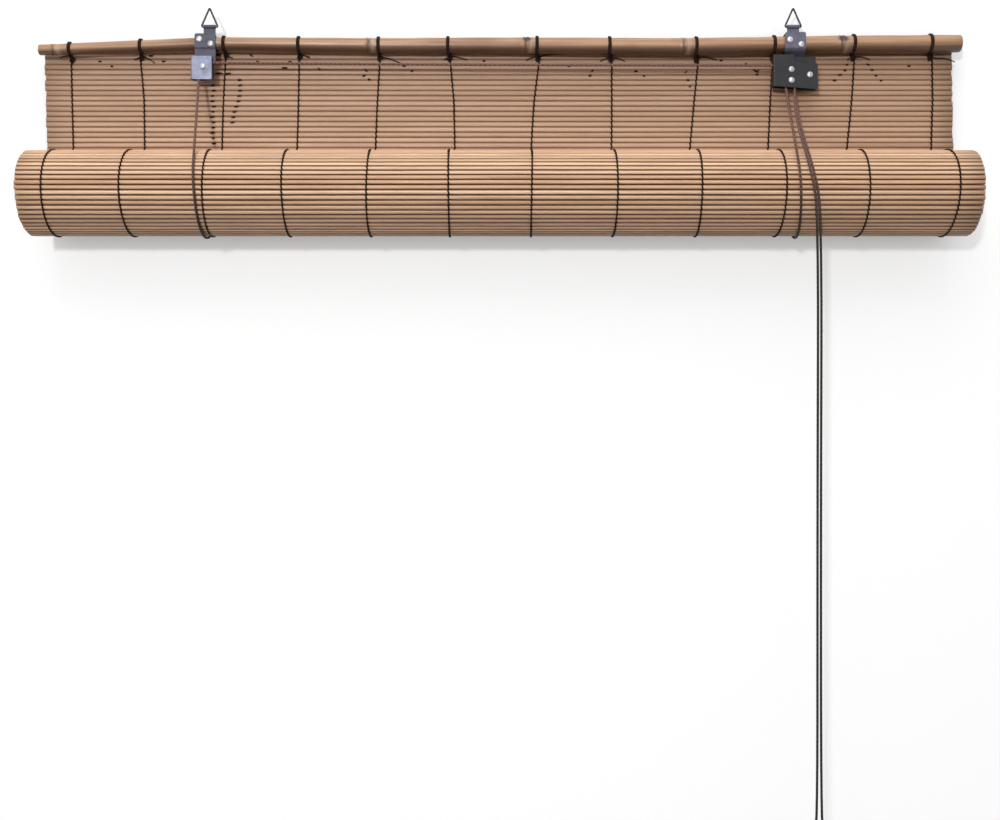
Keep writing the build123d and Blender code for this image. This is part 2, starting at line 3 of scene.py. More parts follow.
import bpy
import math
import numpy as np
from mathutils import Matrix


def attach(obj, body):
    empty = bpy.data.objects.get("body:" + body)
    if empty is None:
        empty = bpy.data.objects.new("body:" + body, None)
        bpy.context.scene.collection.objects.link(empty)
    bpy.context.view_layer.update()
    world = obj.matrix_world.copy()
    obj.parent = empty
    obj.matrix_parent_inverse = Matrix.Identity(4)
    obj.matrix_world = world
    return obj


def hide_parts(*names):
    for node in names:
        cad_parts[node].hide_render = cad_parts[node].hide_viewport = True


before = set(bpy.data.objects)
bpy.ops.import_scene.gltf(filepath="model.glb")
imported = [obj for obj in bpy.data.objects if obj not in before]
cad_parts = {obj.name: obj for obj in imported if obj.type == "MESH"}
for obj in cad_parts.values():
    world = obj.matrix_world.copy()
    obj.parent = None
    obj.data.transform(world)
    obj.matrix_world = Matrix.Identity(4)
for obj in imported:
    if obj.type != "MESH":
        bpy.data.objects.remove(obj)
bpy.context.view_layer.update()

bl_info = {
    "name": "Bamboo Roll Up Blind",
    "version": (1, 0, 0),
    "blender": (4, 5, 0),
    "location": "3D View > Sidebar > Blind",
    "description": "Makes the slats, threads, cane, cords, metal and stage of a bamboo roll up blind",
    "category": "Add Mesh",
}

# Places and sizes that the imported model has, in metres
HALF_WIDTH = 0.400
MAT_PLANE = 0.0103
MAT_TOP = -0.0316
HANGING_SLATS = 29
ROLLED_SLATS = 319
HANGING_PITCH = 0.0046
ROLLED_PITCH = 0.00415
HALF_SLAT = 0.0011
OUTER_SLATS = 108
TURN_PITCH = 0.00308
CORE_RADIUS = 0.0056
ROLL_RADIUS = math.sqrt(CORE_RADIUS**2 + ROLLED_SLATS * ROLLED_PITCH * TURN_PITCH / math.pi)
MAT_FRONT = MAT_PLANE - HALF_SLAT
ROLL_Y = MAT_PLANE - ROLL_RADIUS
ROLL_Z = MAT_TOP - HANGING_SLATS * HANGING_PITCH
WRAP_Y = ROLL_Y + TURN_PITCH / 4
CORD_RIDE = 0.0012
WRAP_RADIUS = ROLL_RADIUS - TURN_PITCH / 4 + HALF_SLAT + CORD_RIDE
PULL_PLANE = WRAP_Y - WRAP_RADIUS
POLE_END = 0.403
POLE_HEIGHT = -0.0319
POLE_RADII = (0.0046, 0.0067, 0.0074)
POLE_WALL = 0.0032
POLE_JOINTS = (-0.390, -0.2525, -0.115, 0.0225, 0.160, 0.2975)
POLE_LIFTS = (-0.0035, -0.0032, 0.0020, 0.0004, 0.0004, -0.0006, 0.0014, 0.0019)
RING_PLACES = (("left", -0.2541), ("right", 0.2565))
RING_BAR, RING_SHOULDER, RING_TOP = -0.0152, -0.0138, 0.00055
RING_HALF = 0.0067
RIVET_SHANK = 0.0014
LEFT_STRAP_FACE = 0.007125
RIGHT_STRAP_FACE = 0.0089075
ANCHOR_END = 0.0138
LEFT_ANCHOR = (-0.2516, -0.03205)
RIGHT_ANCHOR = (0.2516, -0.02910)
HOUSING_FRONT = -0.0096
HOUSING_BACK = -0.0032
LOCK_FRONT = -0.010
LOCK_BACK = -0.002
EYE_RADIUS = 0.0026
EYE_PLANE = 0.0126
COLLAR_RADIUS = 0.0007
LIFT_X = 0.2490
LEFT_CORD_Y = -0.0064
LOCK_EXIT = (0.2566, -0.0695)
LOCK_WHEEL_TOP = -0.0512
FRONT_CORD_Y, REAR_CORD_Y = -0.0073, -0.0047
HANK_CENTRE = np.array((0.262, PULL_PLANE, -0.7283))
HANK_SPACING = 0.0021
HANK_TURNS, HANK_NESTS = 20, 4
HANK_HALF_RUN, HANK_PINCH = 0.018, 0.0048
END_KNOT_HEIGHT = -0.7664
WALL_Y, FLOOR_Z = 0.020, -0.800

# The photograph's camera and its picture in pixels: the reach is what 1 m covers at a distance of 1 m, and
# the pixel is a pixel's size on the mat in metres
CAMERA_PLACE = (0.0, -1.0254, -0.35046)
CAMERA_REACH = 1171.8
PICTURE_WIDTH = 1000
PICTURE_MIDDLE = (500, 410)
PIXEL = 0.00088
BODY = "blind"
PLY_TURN = 12.566
RING_START = (0.45, 0.80, 0.40)
FINISHES = {}


def srgb(red, green, blue):
    """Linear colour of a display colour given from 0 to 255: the display curve's power part, undone."""
    return tuple(((c / 255 + 0.055) / 1.055) ** 2.4 for c in (red, green, blue))


def colour(name, description, *display):
    """A colour that the user may change, written as it shows on a display."""
    return bpy.props.FloatVectorProperty(
        name=name, description=description, default=srgb(*display), subtype="COLOR", min=0.0, max=1.0
    )


def length(name, description, metres):
    """A length that the user may change, in metres."""
    return bpy.props.FloatProperty(
        name=name, description=description, default=metres, subtype="DISTANCE", unit="LENGTH", precision=5
    )


class BlindSizes(bpy.types.PropertyGroup):
    """Sizes of the pieces that are made here."""

    slat_width: length("Slat Width", "Height of a hanging slat's face", 0.0045)
    rolled_width: length("Rolled Slat Width", "Height of a slat on the outer turns of the roll", 0.0036)
    buried_width: length("Buried Slat Width", "Height of a slat inside the roll", 0.0034)
    slat_unevenness: length("Slat Unevenness", "How far the slats' ends differ", 0.0012)
    strand: length("Thread Strand", "Thickness of each of a warp thread's two strands", 0.0015)
    cord: length("Cord", "Thickness of the lift and pull cords", 0.0021)
    tie: length("Tie Cord", "Thickness of the cord that ties the hank", 0.0014)
    ring_wire: length("Ring Wire", "Thickness of the hanging rings' wire", 0.0017)
    rivet_head: length("Rivet Head", "Radius of a rivet's head", 0.0028)
    rivet_crown: length("Rivet Crown", "Height of a rivet's head", 0.0015)


class BlindColours(bpy.types.PropertyGroup):
    """Colours of the finishes."""

    slat_pale: colour("Pale Slat", "Lightest bamboo of the slats", 235, 196, 162)
    slat_tan: colour("Tan Slat", "Usual bamboo of the slats", 207, 164, 128)
    slat_brown: colour("Brown Slat", "Darkest bamboo of the slats", 156, 112, 78)
    # The faded slat colour is partly a greyer tone of the hanging slats and partly painted shade under the
    # pole.
    slat_grey_shade: colour("Grey Shaded Slat", "Greyer tone of the hanging slats", 164, 134, 113)
    # The slat edge colour is painted shade on the slats' cut flanks, where the gaps between the slats lie in
    # shade.
    slat_flank_shade: colour("Slat Edge", "Dark edges of the slats", 90, 50, 25)
    cane_pale: colour("Pale Cane", "Sunlit skin of the pole", 196, 156, 118)
    cane_brown: colour("Brown Cane", "Usual skin of the pole", 150, 108, 78)
    # The dark cane colour serves both the real dark joints and the painted shade on the pole's underside.
    cane_dark_joint_and_shade: colour("Dark Cane", "Underside and joints of the pole", 70, 43, 30)
    thread: colour("Thread", "Warp threads", 34, 21, 17)
    # The upper and lower cord colours are one cord, with painted light beside the mat and painted shade below
    # the roll.
    cord_upper_lit: colour("Upper Cord", "Cords beside the mat", 120, 84, 76)
    cord_lower_shaded: colour("Lower Cord", "Cords below the roll", 27, 25, 21)
    cord_fleck: colour("Cord Fleck", "Light flecks of the braid", 168, 144, 128)
    strap: colour("Strap", "Steel of the hanger straps", 98, 97, 114)
    plate: colour("Plate", "Bright steel of the left housing", 134, 138, 160)
    lock: colour("Lock", "Dark finish of the cord lock", 29, 28, 32)
    rivet: colour("Rivet", "Bright rivets", 196, 196, 201)
    wire: colour("Wire", "Wire of the hanging rings", 66, 66, 72)
    brass: colour("Brass", "Pawl of the cord lock", 176, 140, 78)
    nylon: colour("Nylon", "Pulleys", 214, 212, 204)
    wood: colour("Wood", "Bottom rod", 178, 140, 100)
    wall: colour("Wall", "Wall behind the blind", 195, 195, 195)
    floor: colour("Floor", "Floor under the blind", 84, 84, 84)


def dimmed(rgb, share):
    """A colour's share of its own light."""
    return tuple(share * c for c in tuple(rgb)[:3])


def placed(name, data):
    """A new object of the scene that holds this mesh, lamp or camera."""
    made = bpy.data.objects.new(name, data)
    bpy.context.scene.collection.objects.link(made)
    return made


def sizes():
    """The sizes that are set in this scene."""
    return bpy.context.scene.blind_sizes


def colours():
    """The colours that are set in this scene."""
    return bpy.context.scene.blind_colours


# Surfaces: arrays of points on grids


def loft_part(rings, along=None, looped=False, **values):
    """Tubes as one surface: rings[tube, station, corner] are points, joined to the next corner and the next
    station; open tubes are closed by a fan to the middle of their first and last ring. along[tube, station]
    gives the first texture coordinate and the share of the way round gives the second."""
    tubes, stations, corners, _ = rings.shape
    if along is None:
        along = np.tile(np.arange(stations, dtype=float), (tubes, 1))
    index = np.arange(tubes * stations * corners).reshape(tubes, stations, corners)
    here = index if looped else index[:, :-1]
    ahead = np.roll(index, -1, axis=1) if looped else index[:, 1:]
    quads = np.stack([here, np.roll(here, -1, 2), np.roll(ahead, -1, 2), ahead], axis=-1).reshape(-1, 4)
    step = np.diff(along, axis=1).mean(axis=1, keepdims=True)
    u_here = along if looped else along[:, :-1]
    u_ahead = along + step if looped else along[:, 1:]
    v = np.arange(corners) / corners
    u0, v0 = np.broadcast_arrays(u_here[..., None], v)
    u1, v1 = np.broadcast_arrays(u_ahead[..., None], v + 1 / corners)
    quad_uv = np.stack([np.stack(c, -1) for c in ((u0, v0), (u0, v1), (u1, v1), (u1, v0))], axis=-2)
    points = rings.reshape(-1, 3)
    each = {k: np.broadcast_to(w, rings.shape[:3]).reshape(-1) for k, w in values.items()}
    triangles, triangle_uv = np.zeros((0, 3), int), np.zeros((0, 3, 2))
    if not looped:
        middles = rings[:, [0, -1]].mean(axis=2).reshape(-1, 3)
        hub = (len(points) + np.arange(2 * tubes)).reshape(tubes, 2, 1)
        rims = index[:, [0, -1]]
        beyond = np.roll(rims, -1, 2)
        hubs = np.broadcast_to(hub, rims.shape)
        first = np.stack([beyond[:, 0], rims[:, 0], hubs[:, 0]], -1)
        last = np.stack([rims[:, 1], beyond[:, 1], hubs[:, 1]], -1)
        triangles = np.concatenate([first, last], axis=1).reshape(-1, 3)
        ends = np.repeat(along[:, [0, -1]], corners, axis=1).reshape(-1)
        around = np.tile(v, 2 * tubes)
        triangle_uv = np.stack([np.stack([ends, around], -1)] * 3, axis=1)
        points = np.concatenate([points, middles])
        each = {
            k: np.concatenate([w, np.broadcast_to(values[k], rings.shape[:3])[:, [0, -1], 0].reshape(-1)])
            for k, w in each.items()
        }
    return points, quads, quad_uv.reshape(-1, 4, 2), triangles, triangle_uv, each


def tube_part(path, radius, sides=8, looped=False):
    """A round tube: at each point of path a ring of the given radius stands square to the path's direction,
    which is the difference of the points beside it; the ring starts from a fixed sideways direction."""
    ahead = np.roll(path, -1, 0) - np.roll(path, 1, 0) if looped else np.gradient(path, axis=0)
    ahead /= np.linalg.norm(ahead, axis=1, keepdims=True)
    side = np.cross(ahead, RING_START)
    side /= np.linalg.norm(side, axis=1, keepdims=True)
    up = np.cross(ahead, side)
    turn = 2 * np.pi * np.arange(sides) / sides
    radius = np.broadcast_to(radius, len(path))[:, None, None]
    around = np.cos(turn)[:, None] * side[:, None] + np.sin(turn)[:, None] * up[:, None]
    rings = path[:, None] + radius * around
    along = np.concatenate([[0], np.cumsum(np.linalg.norm(np.diff(path, axis=0), axis=1))])
    return loft_part(rings[None], along[None], looped)


def lathe_part(x, z, stations, sides=24):
    """A turned piece along Y: each station (y, radius) is a circle round the axis through (x, z)."""
    y, radius = np.array(stations, dtype=float).T
    turn = 2 * np.pi * np.arange(sides) / sides
    rings = np.empty((1, len(y), sides, 3))
    rings[0, :, :, 0] = x + radius[:, None] * np.sin(turn)
    rings[0, :, :, 1] = y[:, None]
    rings[0, :, :, 2] = z + radius[:, None] * np.cos(turn)
    along = np.cumsum(np.abs(np.gradient(radius)) + np.abs(np.gradient(y)))
    return loft_part(rings, along[None])


def make_piece(name, parts, look, replaced=()):
    """Joins parts into one mesh that rides on the blind, with their texture coordinates and values."""
    starts = np.cumsum([0] + [len(p[0]) for p in parts])
    points = np.concatenate([p[0] for p in parts])
    quads = np.concatenate([p[1] + s for p, s in zip(parts, starts)])
    triangles = np.concatenate([p[3] + s for p, s in zip(parts, starts)])
    mesh = bpy.data.meshes.new(name)
    mesh.from_pydata(points.tolist(), [], quads.tolist() + triangles.tolist())
    grain = np.concatenate([p[2].reshape(-1) for p in parts] + [p[4].reshape(-1) for p in parts])
    mesh.uv_layers.new(name="grain").data.foreach_set("uv", grain)
    for key in sorted({k for p in parts for k in p[5]}):
        values = np.concatenate([p[5].get(key, np.zeros(len(p[0]))) for p in parts])
        mesh.attributes.new(key, "FLOAT", "POINT").data.foreach_set("value", values.astype(np.float32))
    mesh.polygons.foreach_set("use_smooth", [True] * len(mesh.polygons))
    mesh.materials.append(look)
    mesh.update()
    piece = placed(name, mesh)
    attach(piece, BODY)
    if replaced:
        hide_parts(*replaced)
    return piece


def bell(distance):
    """1 in the middle and falling off to both sides: the exponential of minus the distance squared."""
    return np.exp(-(distance**2))


def wave(turns):
    """The sine of so many turns."""
    return np.sin(2 * np.pi * turns)


def smooth_route(points, steps):
    """Points along the smooth spline that the route's points control, as Blender's own curve gives them."""
    curve = bpy.data.curves.new("route", "CURVE")
    curve.dimensions = "3D"
    curve.resolution_u = steps
    spline = curve.splines.new("NURBS")
    spline.points.add(len(points) - 1)
    spline.points.foreach_set("co", np.hstack([points, np.ones((len(points), 1))]).reshape(-1))
    spline.order_u = 3
    spline.use_endpoint_u = True
    holder = bpy.data.objects.new("route", curve)
    line = bpy.data.meshes.new_from_object(holder)
    found = np.empty(3 * len(line.vertices), dtype=np.float32)
    line.vertices.foreach_get("co", found)
    bpy.data.objects.remove(holder)
    bpy.data.curves.remove(curve)
    bpy.data.meshes.remove(line)
    found = found.reshape(-1, 3).astype(float)
    keep = np.concatenate([[True], np.linalg.norm(np.diff(found, axis=0), axis=1) > 1e-6])
    return found[keep]


# Materials: nodes on the pieces' own grain coordinates or on Object coordinates


def add(tree, kind, sockets=None, **settings):
    """A node with these settings, its sockets filled or linked by name or number."""
    made = tree.nodes.new(kind)
    for name, value in settings.items():
        setattr(made, name, value)
    for name, value in (sockets or {}).items():
        if isinstance(value, bpy.types.NodeSocket):
            tree.links.new(value, made.inputs[name])
        else:
            made.inputs[name].default_value = value
    return made


def opaque(rgb):
    """A colour with its fourth number; a linked colour stays as it is."""
    return rgb if isinstance(rgb, bpy.types.NodeSocket) else (*tuple(rgb)[:3], 1.0)


def mixed(tree, share, first, second):
    """Colour between first and second by share."""
    sockets = {0: share, 6: opaque(first), 7: opaque(second)}
    return add(tree, "ShaderNodeMix", sockets, data_type="RGBA").outputs[2]


def ramp(tree, value, *stops):
    """Grey level by value, through stops (position, level)."""
    made = add(tree, "ShaderNodeValToRGB", {0: value})
    bar = made.color_ramp.elements
    while len(bar) < len(stops):
        bar.new(0.5)
    for element, (place, level) in zip(bar, stops):
        element.position = place
        element.color = (level, level, level, 1.0)
    return made.outputs[0]


def ranged(tree, value, low, high, start=0.0, end=1.0):
    """Number that goes from low to high while value goes from start to end, and stays there beyond."""
    return add(tree, "ShaderNodeMapRange", {0: value, 1: start, 2: end, 3: low, 4: high}).outputs[0]


def worked(tree, kind, *values):
    """One step of arithmetic on values."""
    return add(tree, "ShaderNodeMath", dict(enumerate(values)), operation=kind).outputs[0]


def grain_coordinates(tree, scale):
    """The piece's own grain coordinates, stretched."""
    place = add(tree, "ShaderNodeUVMap", uv_map="grain").outputs[0]
    return add(tree, "ShaderNodeMapping", {"Vector": place, "Scale": scale}).outputs[0]


def object_coordinates(tree, *scale):
    """Object coordinates, stretched by one number or by one for each axis."""
    where = add(tree, "ShaderNodeTexCoord").outputs["Object"]
    scale = scale if len(scale) == 3 else 3 * scale
    return add(tree, "ShaderNodeMapping", {"Vector": where, "Scale": scale}).outputs[0]


def noise(tree, where, detail, roughness=0.55):
    """Soft noise from 0 to 1."""
    sockets = {"Vector": where, "Scale": 1.0, "Detail": detail, "Roughness": roughness}
    return add(tree, "ShaderNodeTexNoise", sockets).outputs[0]


def attribute(tree, name):
    """A value that the mesh carries."""
    return add(tree, "ShaderNodeAttribute", attribute_name=name).outputs["Fac"]


def finish(name, build, roughness, metallic=0.0, **fixed):
    """A material whose nodes build(tree) gives as (colour, height for bumps, bump distance, roughness)."""
    material = bpy.data.materials.new(name)
    material.use_nodes = True
    tree = material.node_tree
    shader = tree.nodes["Principled BSDF"]
    base, height, distance, rough = build(tree)
    tree.links.new(base, shader.inputs["Base Color"])
    if height is not None:
        bump = add(tree, "ShaderNodeBump", {"Height": height, "Distance": distance, "Strength": 1.0})
        tree.links.new(bump.outputs[0], shader.inputs["Normal"])
    if rough is None:
        shader.inputs["Roughness"].default_value = roughness
    else:
        tree.links.new(rough, shader.inputs["Roughness"])
    shader.inputs["Metallic"].default_value = metallic
    for socket, value in fixed.items():
        shader.inputs[socket.replace("_", " ")].default_value = value
    return material


def slat_bamboo(name):
    """Split bamboo: long streaks, darker flecks, a tone for each slat, a greyer tone on the hanging slats
    that grows under the pole as painted shade, and painted shade on the slats' cut flanks.
    """
    tint = colours()

    def build(tree):
        streak = noise(tree, grain_coordinates(tree, (18, 9, 1)), 4.0)
        blotch = noise(tree, grain_coordinates(tree, (5, 1.3, 1)), 2.0)
        tone = attribute(tree, "tone")
        streaked = worked(tree, "MULTIPLY", streak, 0.8)
        share = worked(tree, "ADD", streaked, worked(tree, "MULTIPLY", tone, 0.6))
        light = ramp(tree, share, (0.38, 0.0), (0.92, 1.0))
        base = mixed(tree, light, tint.slat_tan, tint.slat_pale)
        dark = ramp(tree, blotch, (0.28, 0.75), (0.50, 0.0))
        base = mixed(tree, dark, base, tint.slat_brown)
        fleck = ramp(tree, noise(tree, grain_coordinates(tree, (60, 14, 1)), 2.0), (0.66, 0.0), (0.78, 0.6))
        base = mixed(tree, fleck, base, tint.slat_brown)
        joint = attribute(tree, "joint")
        base = mixed(tree, worked(tree, "MULTIPLY", joint, 0.55), base, tint.slat_brown)
        # Hanging slats turn greyer, more so towards the pole: partly a greyer tone, partly painted shade of
        # the pole.
        base = mixed(tree, attribute(tree, "faded"), base, tint.slat_grey_shade)
        # Painted shade: each slat's cut flanks darken towards the slat edge colour, browner on the hanging
        # slats.
        edge = ramp(tree, attribute(tree, "edge"), (0.34, 0.0), (0.90, 0.86))
        base = mixed(tree, edge, base, mixed(tree, attribute(tree, "faded"), tint.slat_flank_shade, tint.slat_brown))
        rough = ranged(tree, streak, 0.42, 0.62)
        height = worked(tree, "ADD", streak, worked(tree, "MULTIPLY", joint, 0.6))
        return base, height, 0.00018, rough

    return finish(name, build, 0.5)


def cane_skin(name):
    """Bamboo cane: long streaks, dark rings at the joints, painted shade on its underside and red brown
    patches.
    """
    tint = colours()

    def build(tree):
        streak = noise(tree, grain_coordinates(tree, (7, 11, 1)), 4.0)
        patch = noise(tree, object_coordinates(tree, 9), 3.0)
        base = mixed(tree, ramp(tree, streak, (0.35, 0.0), (0.68, 1.0)), tint.cane_brown, tint.cane_pale)
        red = ramp(tree, patch, (0.54, 0.0), (0.66, 0.7))
        base = mixed(tree, red, base, srgb(128, 78, 52))
        # Painted shade: the pole's underside darkens as if lit from above; the cut ends stay unshaded.
        under = ramp(tree, attribute(tree, "topside"), (0.22, 0.85), (0.50, 0.0))
        base = mixed(tree, under, base, tint.cane_dark_joint_and_shade)
        ringed = worked(tree, "MULTIPLY", attribute(tree, "joint"), 0.8)
        base = mixed(tree, ringed, base, tint.cane_dark_joint_and_shade)
        bleached = worked(tree, "MULTIPLY", attribute(tree, "bloom"), 0.4)
        base = mixed(tree, bleached, base, srgb(190, 172, 150))
        scarred = ramp(tree, attribute(tree, "scar"), (0.12, 0.0), (0.55, 0.92))
        base = mixed(tree, scarred, base, srgb(40, 24, 17))
        rough = ranged(tree, streak, 0.28, 0.48)
        return base, streak, 0.00015, rough

    return finish(name, build, 0.4, Coat_Weight=0.15, Coat_Roughness=0.3)


def twisted_cotton(name, dark, fleck, share):
    """Twisted thread: slanting plies of two tones round the strand, with fuzz in its bumps."""

    def build(tree):
        plies = grain_coordinates(tree, (900, 1, 1))
        split = add(tree, "ShaderNodeSeparateXYZ", {0: plies})
        around = worked(tree, "MULTIPLY", split.outputs[1], PLY_TURN)
        wave = worked(tree, "SINE", worked(tree, "ADD", split.outputs[0], around))
        lift = worked(tree, "ADD", worked(tree, "MULTIPLY", wave, 0.5), 0.5)
        fuzz = noise(tree, object_coordinates(tree, 2600), 2.0)
        base = mixed(tree, worked(tree, "MULTIPLY", lift, share), dark, fleck)
        base = mixed(tree, ramp(tree, fuzz, (0.35, 0.45), (0.6, 0.0)), base, dimmed(dark, 0.4))
        return base, worked(tree, "ADD", lift, worked(tree, "MULTIPLY", fuzz, 0.5)), 0.00012, None

    return finish(name, build, 0.85, Specular_IOR_Level=0.2)


def braided_cord(name):
    """Braided cord: plies that cross both ways, lighter mauve beside the mat and near black below the roll,
    painted light and painted shade on one cord, with painted shade in the grooves between the plies.
    """
    tint = colours()

    def build(tree):
        plies = grain_coordinates(tree, (1500, 1, 1))
        split = add(tree, "ShaderNodeSeparateXYZ", {0: plies})
        along, around = split.outputs[0], worked(tree, "MULTIPLY", split.outputs[1], 4 * math.pi)
        one = worked(tree, "SINE", worked(tree, "ADD", along, around))
        other = worked(tree, "SINE", worked(tree, "SUBTRACT", along, around))
        lift = worked(tree, "MAXIMUM", one, other)
        height = add(tree, "ShaderNodeSeparateXYZ", {0: object_coordinates(tree, 1)}).outputs[2]
        # Painted light and shade by height: the cord's lit mauve tone beside the mat goes to near black below
        # the roll, and its flecks dim with it.
        low = ranged(tree, height, 0.0, 1.0, -0.11, -0.20)
        ground = mixed(tree, low, tint.cord_upper_lit, tint.cord_lower_shaded)
        fleck = mixed(tree, low, tint.cord_fleck, dimmed(tint.cord_fleck, 0.45))
        spots = worked(tree, "MULTIPLY", ramp(tree, lift, (0.55, 0.0), (1.0, 1.0)), 0.20)
        base = mixed(tree, spots, ground, fleck)
        # Painted shade in the grooves between the plies.
        gaps = ramp(tree, lift, (0.0, 0.35), (0.45, 0.0))
        base = mixed(tree, gaps, base, dimmed(tint.cord_lower_shaded, 0.3))
        return base, lift, 0.0002, None

    return finish(name, build, 0.7, Specular_IOR_Level=0.3)


def rolled_steel(name, tint, metallic, low, high, scratches=0.25, painted_shade=None):
    """Sheet steel: cloudy tone, fine scratches that run one way, and a roughness that follows both. The last
    argument, when given, names an axis and the two places along it between which the tone falls off to a
    painted shade."""

    def build(tree):
        cloud = noise(tree, object_coordinates(tree, 140), 4.0, 0.6)
        scratch = noise(tree, object_coordinates(tree, 260, 260, 3200), 2.0)
        speck = noise(tree, object_coordinates(tree, 1400), 2.0)
        dark = dimmed(tint, 0.62)
        pale = tuple(min(1.0, c) for c in dimmed(tint, 1.18))
        base = mixed(tree, ramp(tree, cloud, (0.3, 0.0), (0.7, 1.0)), dark, pale)
        base = mixed(tree, ramp(tree, scratch, (0.62, 0.0), (0.75, scratches)), base, pale)
        base = mixed(tree, ramp(tree, speck, (0.66, 0.0), (0.74, 0.35)), base, dark)
        if painted_shade:
            axis, start, end = painted_shade
            # Painted shade: the tone falls off to near black between the two places.
            place = add(tree, "ShaderNodeSeparateXYZ", {0: object_coordinates(tree, 1)}).outputs[axis]
            painted_shade_share = ranged(tree, place, 0.0, 1.0, start, end)
            base = mixed(tree, painted_shade_share, base, dimmed(tint, 0.12))
        rough = ranged(tree, cloud, low, high)
        height = worked(tree, "ADD", worked(tree, "MULTIPLY", scratch, 0.5), speck)
        return base, height, 0.00004, rough

    return finish(name, build, low, metallic)


def moulded_nylon(name, tint):
    """Moulded plastic: faint flow marks and a fine orange peel."""

    def build(tree):
        flow = noise(tree, object_coordinates(tree, 180, 180, 60), 3.0)
        base = mixed(tree, ramp(tree, flow, (0.3, 0.0), (0.7, 1.0)), dimmed(tint, 0.82), tint)
        peel = noise(tree, object_coordinates(tree, 1800), 2.0)
        return base, peel, 0.00003, None

    return finish(name, build, 0.45)


def turned_wood(name, tint):
    """Plain rod: growth streaks along X with darker pores."""

    def build(tree):
        streak = noise(tree, object_coordinates(tree, 14, 420, 420), 4.0)
        pore = noise(tree, object_coordinates(tree, 120, 1800, 1800), 2.0)
        base = mixed(tree, ramp(tree, streak, (0.3, 0.0), (0.7, 1.0)), dimmed(tint, 0.6), tint)
        base = mixed(tree, ramp(tree, pore, (0.6, 0.0), (0.72, 0.5)), base, dimmed(tint, 0.35))
        return base, streak, 0.0001, None

    return finish(name, build, 0.6)


def material(maker, name, *facts):
    """The finish of this name, made the first time that it is asked for."""
    if name not in FINISHES:
        FINISHES[name] = maker(name, *facts)
    return FINISHES[name]


# Forms of the blind


def mat_frames(number):
    """Middle (y, z) and facing angle at slat number, counted from the pole, halves being the slats' middles.
    The hanging part is straight down. On the roll the way s along the mat gives the turn angle t from
    s = R t - pitch t squared / 4 pi, and the radius falls by the turn pitch with each turn."""
    number = np.asarray(number, dtype=float)
    way = np.clip(number - HANGING_SLATS, 0, None) * ROLLED_PITCH
    left = np.sqrt(np.clip(ROLL_RADIUS**2 - way * TURN_PITCH / np.pi, 0, None))
    turn = (ROLL_RADIUS - left) * 2 * np.pi / TURN_PITCH
    radius = ROLL_RADIUS - TURN_PITCH * turn / (2 * np.pi)
    hanging = number < HANGING_SLATS
    y = np.where(hanging, MAT_PLANE, ROLL_Y + radius * np.cos(turn))
    z = np.where(hanging, MAT_TOP - number * HANGING_PITCH, ROLL_Z - radius * np.sin(turn))
    return y, z, np.where(hanging, 0.0, -turn)


# The hanging slats' left and right ends: the top slat's, and how far to the right of it the lowest one's lies
HANGING_ENDS = ((-0.4026, 0.0030), (0.3992, 0.0020))


def slat_rings(numbers, width, stations, chance):
    """Rounded bars along X: an eight-cornered section whose corners are cut, carried from end to end with a
    slow waver up and down, ends uneven, standing square to the mat's own direction at each slat."""
    count = len(numbers)
    draw = lambda: chance.random((count, 1))
    y, z, facing = mat_frames(numbers)
    rolled = numbers >= HANGING_SLATS
    low = np.clip((MAT_TOP - z) / (MAT_TOP - ROLL_Z), 0, 1) * ~rolled
    (top_left, left_drift), (top_right, right_drift) = HANGING_ENDS
    uneven = sizes().slat_unevenness * np.where(rolled, 0.6, 1.0)
    left = np.where(rolled, -HALF_WIDTH, top_left + left_drift * low) + uneven * chance.random(count)
    right = np.where(rolled, HALF_WIDTH, top_right + right_drift * low) - uneven * chance.random(count)
    x = left[:, None] + (right - left)[:, None] * np.linspace(0, 1, stations)
    waver = 0.00007 * wave(x * 1.9 + draw() * 0.25)
    waver += 0.00004 * wave(x * 4.3 + draw())
    plump = 1 + 0.03 * (draw() - 0.5) + 0.02 * wave(x * 2.7 + draw())
    half, thick = width / 2, HALF_SLAT
    cut_along, cut_in = 0.36 * width, 0.42 * HALF_SLAT
    corners = np.array([
        (half - cut_along, thick), (half, thick - cut_in), (half, cut_in - thick), (half - cut_along, -thick),
        (cut_along - half, -thick), (-half, cut_in - thick), (-half, thick - cut_in),
        (cut_along - half, thick),
    ])
    slide = waver[..., None] + corners[:, 0] * plump[..., None]
    ride = np.broadcast_to(corners[:, 1], slide.shape)
    across, up = np.sin(facing)[:, None, None], np.cos(facing)[:, None, None]
    # Painted shade on the cut flanks: 1 at the flank corners, 0 on the faces, and weaker on the slats on top
    # of the roll, where light from above falls.
    edge = np.array((0, 1, 1, 0, 0, 1, 1, 0.0)) * (1 - 0.8 * np.clip(across, 0, 1) ** 4)
    rings = np.empty((*slide.shape, 3))
    rings[..., 0] = x[..., None]
    rings[..., 1] = y[:, None, None] + across * slide + up * ride
    rings[..., 2] = z[:, None, None] - up * slide + across * ride
    along = x + 3.0 * draw() + np.asarray(numbers)[:, None] * 0.37
    return rings, along, x, edge


